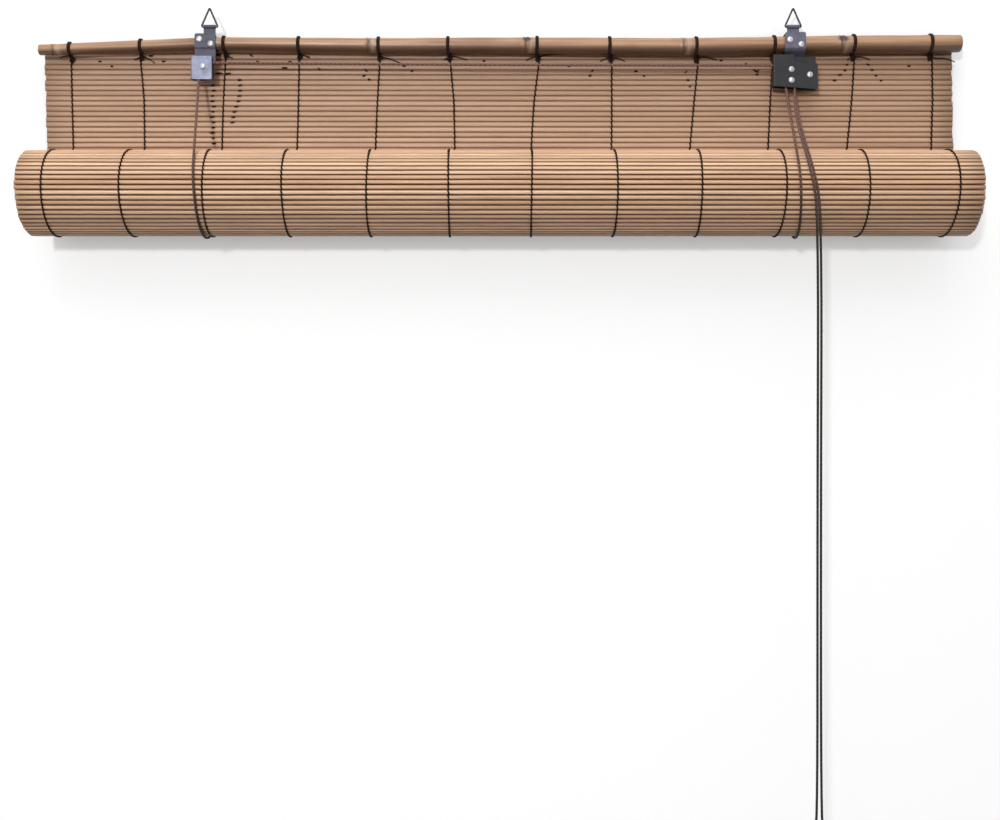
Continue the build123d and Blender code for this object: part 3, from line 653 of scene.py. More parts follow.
def slats():
    """All slats: the hanging ones and the outer two turns finely cut, the buried ones coarsely."""
    chance = np.random.default_rng(11)
    numbers = np.arange(HANGING_SLATS + ROLLED_SLATS) + 0.5
    hanging = numbers < HANGING_SLATS
    buried = numbers > HANGING_SLATS + OUTER_SLATS
    parts = []
    for group, width, stations in (
        (numbers[hanging], sizes().slat_width, 33),
        (numbers[~hanging & ~buried], sizes().rolled_width, 33),
        (numbers[buried], sizes().buried_width, 5),
    ):
        rings, along, x, edge = slat_rings(group, width, stations, chance)
        tone = chance.random((len(group), 1, 1))
        spacing = 0.21 + 0.12 * chance.random((len(group), 1))
        phase = (x / spacing + chance.random((len(group), 1))) % 1.0
        joint = (np.minimum(phase, 1 - phase) * spacing < 0.013)[..., None]
        # A greyer tone for the hanging slats that grows towards the pole as painted shade under it; the
        # rolled slats get none.
        faded = 0.56 + 0.30 * np.clip((rings[..., 2] + 0.125) / 0.085, 0, 1)
        faded = faded * (group[:, None, None] < HANGING_SLATS)
        parts.append(loft_part(rings, along, tone=tone, joint=0.35 * joint, faded=faded, edge=edge))
    make_piece("bamboo_slats", parts, material(slat_bamboo, "slat_bamboo"), ["slat_mat"])


def pole_axis(x):
    """Height of the pole's middle: straight between its joints, from one joint's lift to the next's."""
    return POLE_HEIGHT + np.interp(x, (-POLE_END, *POLE_JOINTS, POLE_END), POLE_LIFTS)


def pole_radius(x):
    """Radius by the parabola through the radii at the thin end, the middle and the thick end."""
    tip, middle, butt = POLE_RADII
    share = np.asarray(x) / POLE_END
    return middle + (butt - tip) / 2 * share + ((butt + tip) / 2 - middle) * share**2


# Branch scars on the pole: place along it, angle round it, height and spread
BRANCH_SCARS = (
    (0.0225, 2.55, 0.0009, 0.0040),
    (0.2975, 2.75, 0.0011, 0.0052),
    (0.1600, 3.60, 0.0004, 0.0026),
    (-0.1150, 2.90, 0.0004, 0.0022),
)


def cane():
    """The pole: circles along X whose radius swells to a double ring at each joint, with branch scars on
    some joints, rounded cut ends and an open bore as far as the first and last joint."""
    steps = [np.linspace(-POLE_END + 0.0008, POLE_END - 0.0014, 190)]
    steps += [joint + np.linspace(-0.006, 0.006, 25) for joint in POLE_JOINTS]
    x = np.unique(np.concatenate(steps))
    angle = 2 * np.pi * np.arange(40) / 40
    away = x[:, None] - np.array(POLE_JOINTS)
    ring = 0.00042 * bell((away + 0.0014) / 0.0009) + 0.00034 * bell((away - 0.0016) / 0.0008)
    groove = 0.00026 * bell(away / 0.0005)
    joint = bell(away / 0.0013).sum(axis=1) * 0.8
    bloom = bell((away - 0.0042) / 0.0022).sum(axis=1)
    scar = np.zeros((len(x), len(angle)))
    reach = pole_radius(x) + (ring - groove).sum(axis=1)
    swell = np.zeros(scar.shape)
    for place, facing, height, spread in BRANCH_SCARS:
        turn = (angle - facing + np.pi) % (2 * np.pi) - np.pi
        swell += height * (bell((x - place - 0.0015) / spread)[:, None] * bell(turn / 0.55))
        rim = bell((x - place - 0.001) / (0.85 * spread))[:, None] * bell(turn / 0.36)
        scar = np.maximum(scar, np.where(height > 0.0006, 0.95, 0.4) * rim)
    wobble = 0.00012 * np.sin(x * 61)[:, None] * np.cos(angle)
    wobble += 0.00008 * np.sin(x * 143 + 1)[:, None] * np.cos(2 * angle)
    reach = reach[:, None] + swell + wobble - 0.0005 * (scar > 0.6)

    def circles(place, size):
        """Rings round the pole's axis at these places along X, with these radii."""
        made = np.empty((len(place), len(angle), 3))
        made[..., 0] = place[:, None]
        made[..., 1] = size * np.cos(angle)
        made[..., 2] = pole_axis(place)[:, None] + size * np.sin(angle)
        return made

    thin, thick = float(pole_radius(-POLE_END)), float(pole_radius(POLE_END))
    left_bore, right_bore = thin - POLE_WALL, thick - POLE_WALL
    left_end = np.array((
        (POLE_JOINTS[0] - 0.003, left_bore), (-POLE_END + 0.0003, left_bore), (-POLE_END, left_bore + 0.0003),
        (-POLE_END, thin - 0.0006), (-POLE_END + 0.0002, thin - 0.0002),
    ))
    right_end = np.array((
        (POLE_END - 0.0004, thick - 0.0006), (POLE_END, thick - 0.0018), (POLE_END, right_bore + 0.0004),
        (POLE_END - 0.0004, right_bore), (POLE_JOINTS[-1] + 0.003, right_bore),
    ))
    grid = np.concatenate([
        circles(left_end[:, 0], left_end[:, 1:]), circles(x, reach),
        circles(right_end[:, 0], right_end[:, 1:]),
    ])
    cut = np.zeros((len(grid), 1))
    cut[:4] = cut[-4:] = 1.0
    ends = len(left_end)
    along = np.concatenate([np.linspace(-0.42, -0.404, ends), x, np.linspace(0.404, 0.42, ends)])
    # The lit share is 1 on top of the pole and on the cut ends and 0 underneath, for the painted underside
    # shade.
    part = loft_part(
        grid[None], along[None], topside=np.maximum((np.sin(angle) + 1) / 2, cut)[None],
        joint=np.pad(joint, ends)[None, :, None],
        bloom=np.pad(bloom, ends, constant_values=0.5)[None, :, None],
        scar=np.pad(scar, ((ends, ends), (0, 0)))[None],
    )
    make_piece("bamboo_cane", [part], material(cane_skin, "cane_skin"), ["bamboo_pole"])


def on_mat(across, down, lift=0.0006):
    """The point on the mat's front face, lifted off it a little, that the camera shows at a place of the
    picture: the ray's slope times the face's distance."""
    y = MAT_FRONT - lift
    reach = (y - CAMERA_PLACE[1]) / CAMERA_REACH
    middle_across, middle_down = PICTURE_MIDDLE
    return (across - middle_across) * reach, y, CAMERA_PLACE[2] + (middle_down - down) * reach


# Each thread across: on the pole, then on the mat's face at three heights, then on the roll, in metres
THREAD_LINES = (
    (-0.3760, -0.3779, -0.3774, -0.3770, -0.3780),
    (-0.3140, -0.3175, -0.3145, -0.3134, -0.3133),
    (-0.2412, -0.2420, -0.2436, -0.2454, -0.2455),
    (-0.1760, -0.1770, -0.1782, -0.1792, -0.1798),
    (-0.1062, -0.1062, -0.1078, -0.1095, -0.1101),
    (-0.0455, -0.0436, -0.0408, -0.0403, -0.0428),
    (0.0322, 0.0342, 0.0302, 0.0280, 0.0264),
    (0.0956, 0.0990, 0.0989, 0.0980, 0.0966),
    (0.1712, 0.1745, 0.1712, 0.1680, 0.1668),
    (0.2392, 0.2410, 0.2390, 0.2364, 0.2356),
    (0.3088, 0.3125, 0.3100, 0.3063, 0.3048),
    (0.3760, 0.3812, 0.3822, 0.3808, 0.3785),
)
THREAD_HEIGHTS = (-0.0414, -0.0767, -0.1191, ROLL_Z)
THREADED_SLATS = 57.5
TAIL_RADII = (0.00075, 0.00045)

# Loose tails of the threads as the camera shows them: thread number and places in the picture
THREAD_TAILS = (
    (0, ((72, 57), (66, 55), (60, 58))),
    (1, ((141, 56), (148, 58), (155, 63))),
    (1, ((140, 57), (134, 60))),
    (2, ((226, 56), (233, 58))),
    (3, ((301, 55), (306, 56), (310, 57.5))),
    (4, ((382, 57), (391, 59), (400, 63))),
    (5, ((450, 56), (458, 57), (467, 60))),
    (5, ((448, 57), (444, 60))),
    (6, ((537, 57), (532, 57), (526, 60.5))),
    (6, ((540, 56), (550, 54.5), (564, 53.5))),
    (7, ((610, 58), (605, 58.5), (600, 61.5))),
    (7, ((613, 58), (619, 58.5), (625, 61.5))),
    (8, ((700, 57), (709, 57.5), (717, 60))),
    (10, ((857, 57), (864, 57), (870, 60))),
    (11, ((931, 57), (937, 58.5), (944, 57.5), (955, 62))),
)

# Woven-in thread ends that show in the gaps: place in the picture, half length in pixels, slant in degrees
THREAD_ENDS = (
    *((213 + 0.9 * math.sin(i * 1.9), 85.3 + 5.28 * i, 2.3 + 0.6 * math.sin(i * 2.3), 4) for i in range(12)),
    *((238 + 2.2 * math.sin(0.8 + 0.55 * i) - 0.9 * max(i - 4, 0), 80 + 5.3 * i, 2.4, 6) for i in range(9)),
    (217, 48.5, 4.0, 0), (217, 55, 3.4, 0), (219, 73.3, 4.5, 0), (228, 73.6, 3.2, 8),
    (151, 56, 3.0, 0), (163.6, 61.4, 2.2, 4), (251.4, 55.5, 2.6, -32), (257.5, 61.5, 1.5, 0),
    (290, 61.8, 2.0, 0), (308, 57, 2.4, -14), (313.4, 63.3, 2.2, 0), (319, 68.8, 2.2, -35),
    (284.7, 67.8, 3.4, 0),
    (366, 70.5, 2.0, -30), (364, 75.8, 1.8, 20), (369, 79.5, 1.6, 0), (404, 66, 2.0, 0), (412, 71, 1.6, 10),
    (592.4, 70.8, 1.6, 30), (590, 75.7, 1.8, 0), (636, 71.2, 2.0, 0), (644, 76, 1.5, -20),
    (686, 72, 1.7, 35), (688, 80, 1.7, 0), (690, 86.5, 1.4, 10), (721, 60.5, 2.0, 0),
    (755.5, 71.0, 3.2, -28), (758, 70.8, 1.9, 42), (757, 74.4, 1.6, 0), (746, 64, 1.5, 0),
    (848.6, 59, 2.0, 38), (847, 64.6, 1.6, 20), (845, 70.5, 1.7, 0), (840, 74.8, 2.4, 4),
    (834.5, 80.4, 2.0, 0), (868, 64.5, 2.0, -18), (872, 70, 1.7, 0), (876, 75.5, 1.7, -20),
    (881, 80.5, 1.4, 0),
    (100, 61.5, 1.8, 0), (112, 66.5, 1.5, -10), (484, 61, 1.7, 0), (569, 66.2, 1.5, 10), (909, 66, 1.7, 0),
)


def thread_strand(line, sign):
    """One of a thread's two strands: along the mat it goes over one slat and under the next, by a cosine wave
    with flattened tops whose sign the other strand has reversed, and moves a little sideways where they
    cross. The flattening is a hyperbolic tangent."""
    number = np.linspace(0.05, HANGING_SLATS + THREADED_SLATS, 602)
    y, z, facing = mat_frames(number)
    crossing = np.pi * (number - 0.5)
    over = (HALF_SLAT + 0.30 * sizes().strand) * np.tanh(2.6 * (np.cos(crossing) * sign)) / math.tanh(2.6)
    height = np.where(number < HANGING_SLATS, z, ROLL_Z)
    across = np.interp(-height, [-h for h in THREAD_HEIGHTS], line[1:])
    across = across + 0.00034 * sign * np.sin(crossing) + 0.0004 * np.sin(number * 0.19 + 40 * line[0])
    path = np.stack([across, y - over * np.cos(facing), z - over * np.sin(facing)], -1)
    return tube_part(path, sizes().strand / 2, 5)


def thread_lash(line):
    """Two and a half turns round the pole, a helix, with its ends brought down to the knot under it."""
    turn = np.linspace(-0.5 * np.pi, 4.5 * np.pi, 110)
    x = line[0] + 0.00070 * np.sin(turn * 0.4 + 0.6)
    radius = pole_radius(line[0]) + 0.00045 + 0.00022 * np.cos(turn * 0.8)
    path = np.stack([x, radius * np.cos(turn), pole_axis(line[0]) + radius * np.sin(turn)], -1)
    return tube_part(path, 0.6 * sizes().strand, 6)


def knot_line(centre, size, stretch=1.0):
    """A trefoil: a circle run round twice while it swings in and out three times."""
    turn = np.linspace(0, 2 * np.pi, 66)[:-1]
    reach = size * (0.62 + 0.38 * np.cos(3 * turn))
    x, z = reach * np.cos(2 * turn), reach * np.sin(2 * turn) * stretch
    return np.stack([x, 0.38 * size * np.sin(3 * turn), z], -1) + np.asarray(centre)


def warp_cotton():
    """The threads' finish."""
    return material(twisted_cotton, "warp_cotton", colours().thread, srgb(84, 60, 48), 0.30)


def warp_threads():
    """Twelve threads, each with its two strands, its lash and knot at the pole, the saddle that joins them
    and its loose tails."""
    for i, line in enumerate(THREAD_LINES):
        under = float(pole_axis(line[0])) - float(pole_radius(line[0]))
        knot = (0.5 * (line[0] + line[1]), MAT_FRONT - 0.0022, under - 0.0021)
        saddle = np.array([
            (line[0], float(pole_radius(line[0])) * 0.35, under - 0.0004), knot,
            (line[1], MAT_FRONT - 0.0005, MAT_TOP - 0.004),
        ])
        parts = [
            thread_strand(line, 1), thread_strand(line, -1), thread_lash(line),
            tube_part(knot_line(knot, 0.0021, 1.35), 0.00064, 6, looped=True),
            tube_part(smooth_route(saddle, 8), sizes().strand / 2, 5),
        ]
        for owner, places in THREAD_TAILS:
            if owner == i:
                tail = smooth_route(np.array([knot] + [on_mat(*place, 0.0009) for place in places]), 6)
                parts.append(tube_part(tail, np.linspace(*TAIL_RADII, len(tail)), 5))
        name = f"warp_thread_{i + 1:02d}"
        make_piece(f"{name}_cotton", parts, warp_cotton(), [name])


def thread_ends():
    """Short woven-in ends: spindles on the mat's face, thick in the middle and pointed at both tips, by the
    square root of one minus the share squared."""
    across, down, half, slant = np.array(THREAD_ENDS).T
    x, y, z = on_mat(across, down, 0.0003)
    share = np.linspace(-1, 1, 7)
    turn = 2 * np.pi * np.arange(6) / 6
    thick = 0.00085 * np.sqrt(np.clip(1 - share**2, 0.02, 1))[:, None]
    tilt = np.radians(slant)
    run, rise = ((half * PIXEL * way)[:, None, None] * share[:, None] for way in (np.cos(tilt), np.sin(tilt)))
    rings = np.empty((len(x), 7, 6, 3))
    rings[..., 0] = x[:, None, None] + run
    rings[..., 1] = y + thick * np.cos(turn)
    rings[..., 2] = z[:, None, None] + rise + thick * np.sin(turn)
    along = np.tile(share * 0.002, (len(x), 1))
    make_piece("woven_in_ends", [loft_part(rings, along)], warp_cotton())


def ring_path(x):
    """A triangular ring's middle line: its corners are rounded by a spline that cuts inside each of them."""
    bar, top, half, corner = RING_BAR, RING_TOP, RING_HALF, 0.0012
    corners = np.array([
        (x - half, 0, bar + corner), (x - half, 0, RING_SHOULDER), (x - 0.0013, 0, top - 0.0022),
        (x - 0.0004, 0, top), (x + 0.0004, 0, top), (x + 0.0013, 0, top - 0.0022),
        (x + half, 0, RING_SHOULDER), (x + half, 0, bar + corner), (x + half, 0, bar),
        (x + half - corner, 0, bar), (x, 0, bar), (x - half + corner, 0, bar), (x - half, 0, bar),
        (x - half, 0, bar + corner),
    ])
    return smooth_route(corners, 5)[:-1]


def hanging_rings():
    """The two wire rings; each lower bar lies in its strap's curl."""
    wire = material(rolled_steel, "ring_wire", colours().wire, 0.85, 0.28, 0.42)
    for side, x in RING_PLACES:
        part = tube_part(ring_path(x), sizes().ring_wire / 2, 12, looped=True)
        ring = make_piece(f"{side}_wire_ring", [part], wire, [f"{side}_hanging_ring"])
        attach(ring, f"{side}_ring")


def rivet_part(x, z, front, back):
    """A rivet: a quarter ellipse turned to a dome for each head, and its shank between them."""
    head, crown = sizes().rivet_head, sizes().rivet_crown
    lean = np.linspace(0.02, np.pi / 2, 8)
    dome = [(front - crown * math.cos(a), head * math.sin(a)) for a in lean]
    rear = [(back + crown * math.cos(a), head * math.sin(a)) for a in lean[::-1]]
    return lathe_part(x, z, dome + [(front, RIVET_SHANK), (back, RIVET_SHANK)] + rear)


def rivets():
    """All rivets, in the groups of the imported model: (node, its rivets as x, z, front face, rear face)."""
    lock = (LOCK_FRONT, LOCK_BACK)
    groups = (
        ("left_strap_rivets", (
            (-0.2614, -0.02805, -LEFT_STRAP_FACE, LEFT_STRAP_FACE),
            (*LEFT_ANCHOR, -LEFT_STRAP_FACE, ANCHOR_END),
        )),
        ("right_strap_rivets", (
            (*RIGHT_ANCHOR, -RIGHT_STRAP_FACE, ANCHOR_END),
            (0.2614, -0.03310, -RIGHT_STRAP_FACE, RIGHT_STRAP_FACE),
        )),
        ("left_pulley_axle", ((-0.2579, -0.0525, HOUSING_FRONT, HOUSING_BACK),)),
        ("cord_lock_rivets", ((0.2526, -0.0552, *lock), (0.2526, -0.0646, *lock), (0.2685, -0.0598, *lock))),
    )
    bright = material(rolled_steel, "rivet_steel", colours().rivet, 0.75, 0.22, 0.36, 0.15)
    for node, places in groups:
        make_piece(f"{node}_domed", [rivet_part(*place) for place in places], bright, [node])


# Cords: their routes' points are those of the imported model's tubes, in metres


def round_roll(round_x, turn):
    """Corner points of a cord's way from behind the roll, down and round it by turn, at the places round_x
    across: on the polygon whose sides touch the circle that the cord lies on."""
    step = turn / len(round_x)
    reach = WRAP_RADIUS / math.cos(step / 2)
    angle = step * (np.arange(len(round_x)) + 0.5)
    return np.stack([round_x, WRAP_Y + reach * np.cos(angle), ROLL_Z - reach * np.sin(angle)], -1)


def lift_cord(side, anchor, round_x, above):
    """A lift cord: its eye on the strap's rear rivet, the way down, round the roll from side to side by
    round_x and up through above, and the collar under the eye."""
    eye_x, eye_z = anchor
    down_x = math.copysign(LIFT_X, eye_x)
    turn = 2 * np.pi * np.arange(28) / 28
    eye = np.stack([
        eye_x + EYE_RADIUS * np.cos(turn), np.full(28, EYE_PLANE), eye_z + EYE_RADIUS * np.sin(turn),
    ], -1)
    start = np.array((down_x, EYE_PLANE, eye_z - EYE_RADIUS))
    corners = round_roll(round_x, math.pi + leaving_angle(*above[0][1:]))
    run = np.linalg.norm(corners[1] - corners[0])
    arriving, leaving = start - corners[0], np.array(above[0]) - corners[-1]
    near = corners[0] + arriving * run / np.linalg.norm(arriving)
    far = corners[-1] + leaving * run / np.linalg.norm(leaving)
    path = smooth_route(np.vstack([[start], [near], corners, [far], above]), 10)
    coil = np.linspace(0, 7 * np.pi, 80)
    collar = np.stack([
        down_x + COLLAR_RADIUS * np.cos(coil), EYE_PLANE + COLLAR_RADIUS * np.sin(coil),
        eye_z - 0.0034 - 0.0036 * coil / coil[-1],
    ], -1)
    parts = [
        tube_part(path, sizes().cord / 2, 10),
        tube_part(eye, sizes().cord / 2, 10, looped=True),
        tube_part(collar, 0.0005, 6),
    ]
    look = material(braided_cord, "braided_cord")
    make_piece(f"{side}_lift_braid", parts, look, [f"{side}_lift_cord"])


def lift_cords():
    """Both lift cords: the left one goes over its pulley and across to the lock, the right one into it."""
    lock_x, exit_z = LOCK_EXIT
    lift_cord("left", LEFT_ANCHOR, (-0.2508, -0.2510, -0.2510), [
        (-0.2619, LEFT_CORD_Y, -0.0645), (-0.2619, LEFT_CORD_Y, -0.0485),
        (-0.2459, -0.00643, -0.0486), (0.0, -0.0069, -0.0506), (0.2386, -0.00727, LOCK_WHEEL_TOP),
        (lock_x, FRONT_CORD_Y, LOCK_WHEEL_TOP), (lock_x, FRONT_CORD_Y, exit_z),
    ])
    lift_cord("right", RIGHT_ANCHOR, (0.2550, 0.2514, 0.2460), [
        (0.2486, REAR_CORD_Y, -0.0710), (0.2486, REAR_CORD_Y, LOCK_WHEEL_TOP),
        (lock_x, REAR_CORD_Y, LOCK_WHEEL_TOP), (lock_x, REAR_CORD_Y, exit_z),
    ])


def leaving_angle(y, z):
    """How far a cord from (y, z) down to the roll's front slants from the vertical: the direction to the
    roll's middle plus the angle whose sine is the roll's reach over the distance."""
    away = math.hypot(y - WRAP_Y, z - ROLL_Z)
    return math.atan2(y - WRAP_Y, z - ROLL_Z) + math.asin(WRAP_RADIUS / away)


def hank_route(mirror):
    """A cord's turns in the hank: twenty long loops, four side by side in each of five layers. A loop has
    two sides, pinched to the waist by a squared cosine, and two half circles; its nest sets its reach and
    its layer sets how far it lies from the hank's middle. mirror turns the whole half round for the other
    cord."""
    loop = np.arange(HANK_TURNS)
    layer, step = loop // HANK_NESTS, loop % HANK_NESTS
    nest = np.where(layer % 2 == 0, HANK_NESTS - 1 - step, step)
    reach = (0.0060 + HANK_SPACING * nest)[:, None]
    depth = (-HANK_SPACING / 2 - HANK_SPACING * layer)[:, None]
    down = np.array((0.0135, 0.0045, -0.0045, -0.0135))
    lower, upper = np.radians((198, 234, 270, 306, 342)), np.radians((18, 54, 90, 126, 162))
    side = reach - HANK_PINCH * np.cos(np.pi * down / (2 * HANK_HALF_RUN)) ** 2
    bend = 1.051 * reach
    x = np.hstack([-side, bend * np.cos(lower), side, bend * np.cos(upper)])
    z = np.hstack([
        np.tile(down, (HANK_TURNS, 1)), -HANK_HALF_RUN + bend * np.sin(lower),
        np.tile(down[::-1], (HANK_TURNS, 1)), HANK_HALF_RUN + bend * np.sin(upper),
    ])
    turns = np.stack([x, np.tile(depth, (1, x.shape[1])), z], -1).reshape(-1, 3)[:-14]
    entry = np.array([(-0.0040, 0.0, 0.0345), (-0.0098, -0.0006, 0.0285), (-0.0140, -0.00105, 0.0210)])
    tail = np.array([
        (-0.0042, -0.0112, -0.0200), (-0.0022, -0.0117, -0.0270), (-0.0013, -0.0098, -0.0328),
        (-0.0010, -0.0040, -0.0350), (-0.0010, -0.0006, -0.0368),
    ])
    local = np.vstack([entry, turns, tail])
    if mirror:
        local[:, :2] *= -1
    return local + HANK_CENTRE


def pull_cords():
    """Both pull cords: out of the lock, over the roll's front, straight down and into the hank."""
    tie, knot = hank_tie(), end_knot()
    lock_x, exit_z = LOCK_EXIT
    for side, y, below, replaced in (
        ("left", FRONT_CORD_Y, [
            (0.2556, FRONT_CORD_Y, -0.0728), (0.2524, -0.0240, -0.0960), (0.2520, -0.0400, -0.1170),
            (0.2550, -0.0645, -0.1530), (0.2615, PULL_PLANE, -0.1850), (0.2606, PULL_PLANE, -0.4310),
            (0.2607, PULL_PLANE, -0.6880),
        ], ["left_pull_cord", "pull_cord_hank"]),
        ("right", REAR_CORD_Y, [
            (0.2570, REAR_CORD_Y, -0.0728), (0.2545, -0.0230, -0.0950), (0.2542, -0.0390, -0.1160),
            (0.2574, -0.0645, -0.1525), (0.2643, PULL_PLANE, -0.1850), (0.2634, PULL_PLANE, -0.4310),
            (0.2636, PULL_PLANE, -0.6880),
        ], ["right_pull_cord"]),
    ):
        start = (lock_x, y, exit_z)
        path = smooth_route(np.vstack([[start], below, hank_route(side == "right")]), 5)
        part = tube_part(path, sizes().cord / 2, 8)
        look = material(braided_cord, "braided_cord")
        cord = make_piece(f"{side}_pull_braid", [part], look, replaced)


def hank_tie():
    """The tie: three and a half turns round the hank's waist on a squared oval, the eighth-power ellipse,
    with a knot and two short tails in front."""
    turn = np.linspace(0, 7 * np.pi, 260)
    across, deep = (np.sign(c) * np.abs(c) ** 0.25 for c in (np.cos(turn), np.sin(turn)))
    oval = np.stack([0.0093 * across, 0.0113 * deep, 0.0027 - 0.0015 * turn / (2 * np.pi)], -1)
    tails = (
        ((0.0093, -0.0108, -0.0026), (0.0078, -0.0124, -0.0030), (0.0050, -0.0124, -0.0085),
         (0.0056, -0.0120, -0.0135)),
        ((0.0086, -0.0120, 0.0018), (0.0068, -0.0126, -0.0020), (0.0082, -0.0124, -0.0072),
         (0.0092, -0.0120, -0.0108)),
    )
    radius = sizes().tie / 2
    parts = [tube_part(oval + HANK_CENTRE, radius, 8)]
    parts += [tube_part(smooth_route(np.array(tail) + HANK_CENTRE, 6), radius, 8) for tail in tails]
    knot = knot_line(HANK_CENTRE + (0.0070, -0.0124, 0.0), 0.0017)
    parts.append(tube_part(knot, radius, 8, looped=True))
    cotton = material(twisted_cotton, "tie_cotton", srgb(78, 60, 52), srgb(140, 118, 100), 0.5)
    return make_piece("hank_tie_cord", parts, cotton, ["hank_tie"])


def end_knot():
    """The knot under the hank: a fat trefoil of both cords with two short tails."""
    middle = np.array((*HANK_CENTRE[:2], END_KNOT_HEIGHT))
    radius = sizes().cord / 2
    parts = [tube_part(knot_line(middle, 0.0026), radius, 8, looped=True)]
    for side in (-1, 1):
        tail = np.array([
            (side * 0.0008, 0, -0.0012), (side * 0.0014, 0, -0.0040), (side * 0.0022, 0, -0.0070),
        ])
        parts.append(tube_part(smooth_route(middle + tail, 5), radius, 8))
    look = material(braided_cord, "braided_cord")
    return make_piece("end_knot", parts, look, ["pull_cord_knot"])


def dress(look, slot, *nodes):
    """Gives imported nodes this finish."""
    for name in nodes:
        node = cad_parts[name]
        node.data.materials.clear()
        node.data.materials.append(look)


def metal_finishes():
    """Materials of the nodes that are shown as they were packed. Painted shade darkens the right strap's
    lower end, where the lock's shadow falls, and the left housing's right edge; the left strap's steel is a
    darker copy of the same steel, also painted shade."""
    tint = colours()
    # The left strap's steel is the strap colour at 0.60: a darker copy of the same steel, painted shade.
    strap = material(rolled_steel, "strap_steel", dimmed(tint.strap, 0.60), 0.30, 0.52, 0.64)
    right_strap = material(
        rolled_steel, "right_strap_steel", tint.strap, 0.40, 0.46, 0.58, 0.25, (2, -0.0355, -0.0395)
    )
    plate = material(rolled_steel, "housing_steel", tint.plate, 0.45, 0.46, 0.58, 0.25, (0, -0.2505, -0.2498))
    lock = material(rolled_steel, "lock_paint", tint.lock, 0.25, 0.42, 0.58, 0.12)
    nylon = material(moulded_nylon, "pulley_nylon", tint.nylon)
    brass = material(rolled_steel, "pawl_brass", tint.brass, 0.85, 0.30, 0.45)
    wood = material(turned_wood, "rod_wood", tint.wood)
    dress(strap, "strap_steel", "left_hanger_strap")
    dress(right_strap, "strap_steel", "right_hanger_strap")
    dress(plate, "housing_steel", "left_pulley_housing")
    dress(lock, "lock_paint", "cord_lock_housing")
    dress(nylon, "pulley_plastic", "left_pulley", "cord_lock_pulley")
    dress(brass, "pawl_brass", "cord_lock_pawl", "cord_lock_anvil")
    dress(wood, "rod_wood", "bottom_rod")


def plain_wall(name, tone, glow_strength, one_sided):
    """Pale matt surface that the camera and glossy rays see a little brighter, so that it reaches white but
    keeps the lamps' shadows; that glow fades where ambient occlusion finds things close by, a painted contact
    shadow; a one-sided one is clear from behind."""
    made = bpy.data.materials.new(name)
    made.use_nodes = True
    tree = made.node_tree
    tree.nodes.clear()
    matt = add(tree, "ShaderNodeBsdfDiffuse", {"Color": opaque(tone)})
    path = add(tree, "ShaderNodeLightPath")
    seen = worked(tree, "MAXIMUM", path.outputs["Is Camera Ray"], path.outputs["Is Glossy Ray"])
    seen = worked(tree, "MAXIMUM", seen, path.outputs["Is Transmission Ray"])
    # Painted contact shadow: the glow fades where ambient occlusion finds something within 28 mm.
    open_share = add(tree, "ShaderNodeAmbientOcclusion", {"Distance": 0.028}, samples=8).outputs["AO"]
    painted_contact_shade = worked(tree, "POWER", open_share, 0.7)
    glow = add(tree, "ShaderNodeEmission", {
        "Strength": worked(tree, "MULTIPLY", seen, worked(tree, "MULTIPLY", painted_contact_shade, glow_strength))
    })
    both = add(tree, "ShaderNodeAddShader", {0: matt.outputs[0], 1: glow.outputs[0]})
    surface = both.outputs[0]
    if one_sided:
        behind = add(tree, "ShaderNodeNewGeometry").outputs["Backfacing"]
        clear = add(tree, "ShaderNodeBsdfTransparent")
        surface = add(tree, "ShaderNodeMixShader", {0: behind, 1: surface, 2: clear.outputs[0]}).outputs[0]
    add(tree, "ShaderNodeOutputMaterial", {"Surface": surface})
    return made


def stage_sheet(name, corners, look):
    """A flat sheet through four corners, which run anticlockwise as seen from its lit side."""
    mesh = bpy.data.meshes.new(name)
    mesh.from_pydata(corners, [], [(0, 1, 2, 3)])
    mesh.materials.append(look)
    placed(name, mesh)


def area_light(name, place, target, size, power):
    """A square soft light at place that shines at target."""
    lamp = bpy.data.lights.new(name, "AREA")
    lamp.shape = "SQUARE"
    lamp.size = size
    lamp.energy = power
    light = placed(name, lamp)
    light.location = place
    x, y, z = np.subtract(place, target)
    light.rotation_euler = (math.atan2(math.hypot(x, y), z), 0, math.atan2(x, -y))


# Lamps: name, place, what it shines at, size and power
LAMPS = (
    ("front", (-0.51, -2.30, 0.08), (0, 0, -0.2), 0.16, 26),
    ("top", (-0.10, -1.25, 1.45), (0, 0, -0.15), 1.3, 12),
    ("back", (0.5, 1.6, 0.9), (0, 0, -0.2), 1.4, 14),
)


def stage():
    """Wall, floor, world and lights, and Standard view."""
    scene = bpy.context.scene
    wall, floor = [(-6, FLOOR_Z), (6, FLOOR_Z), (6, 4), (-6, 4)], [(-6, -6), (6, -6), (6, 6), (-6, 6)]
    wall_paint = plain_wall("wall_paint", colours().wall, 0.53, True)
    stage_sheet("wall", [(x, WALL_Y, z) for x, z in wall], wall_paint)
    floor_paint = plain_wall("floor_paint", colours().floor, 0.90, False)
    stage_sheet("floor", [(x, y, FLOOR_Z) for x, y in floor], floor_paint)
    world = scene.world or bpy.data.worlds.new("studio")
    scene.world = world
    world.use_nodes = True
    tree = world.node_tree
    tree.nodes.clear()
    path = add(tree, "ShaderNodeLightPath")
    seen = worked(tree, "MAXIMUM", path.outputs["Is Camera Ray"], path.outputs["Is Glossy Ray"])
    ray = add(tree, "ShaderNodeNewGeometry").outputs["Position"]
    height = add(tree, "ShaderNodeSeparateXYZ", {0: ray}).outputs[2]
    dome = ranged(tree, height, 0.0, 0.80, -0.30, 0.40)
    strength = worked(tree, "MAXIMUM", dome, seen)
    sky = add(tree, "ShaderNodeBackground", {"Color": (1, 1, 1, 1), "Strength": strength})
    add(tree, "ShaderNodeOutputWorld", {"Surface": sky.outputs[0]})
    for lamp in LAMPS:
        area_light(*lamp)
    scene.view_settings.view_transform = "Standard"


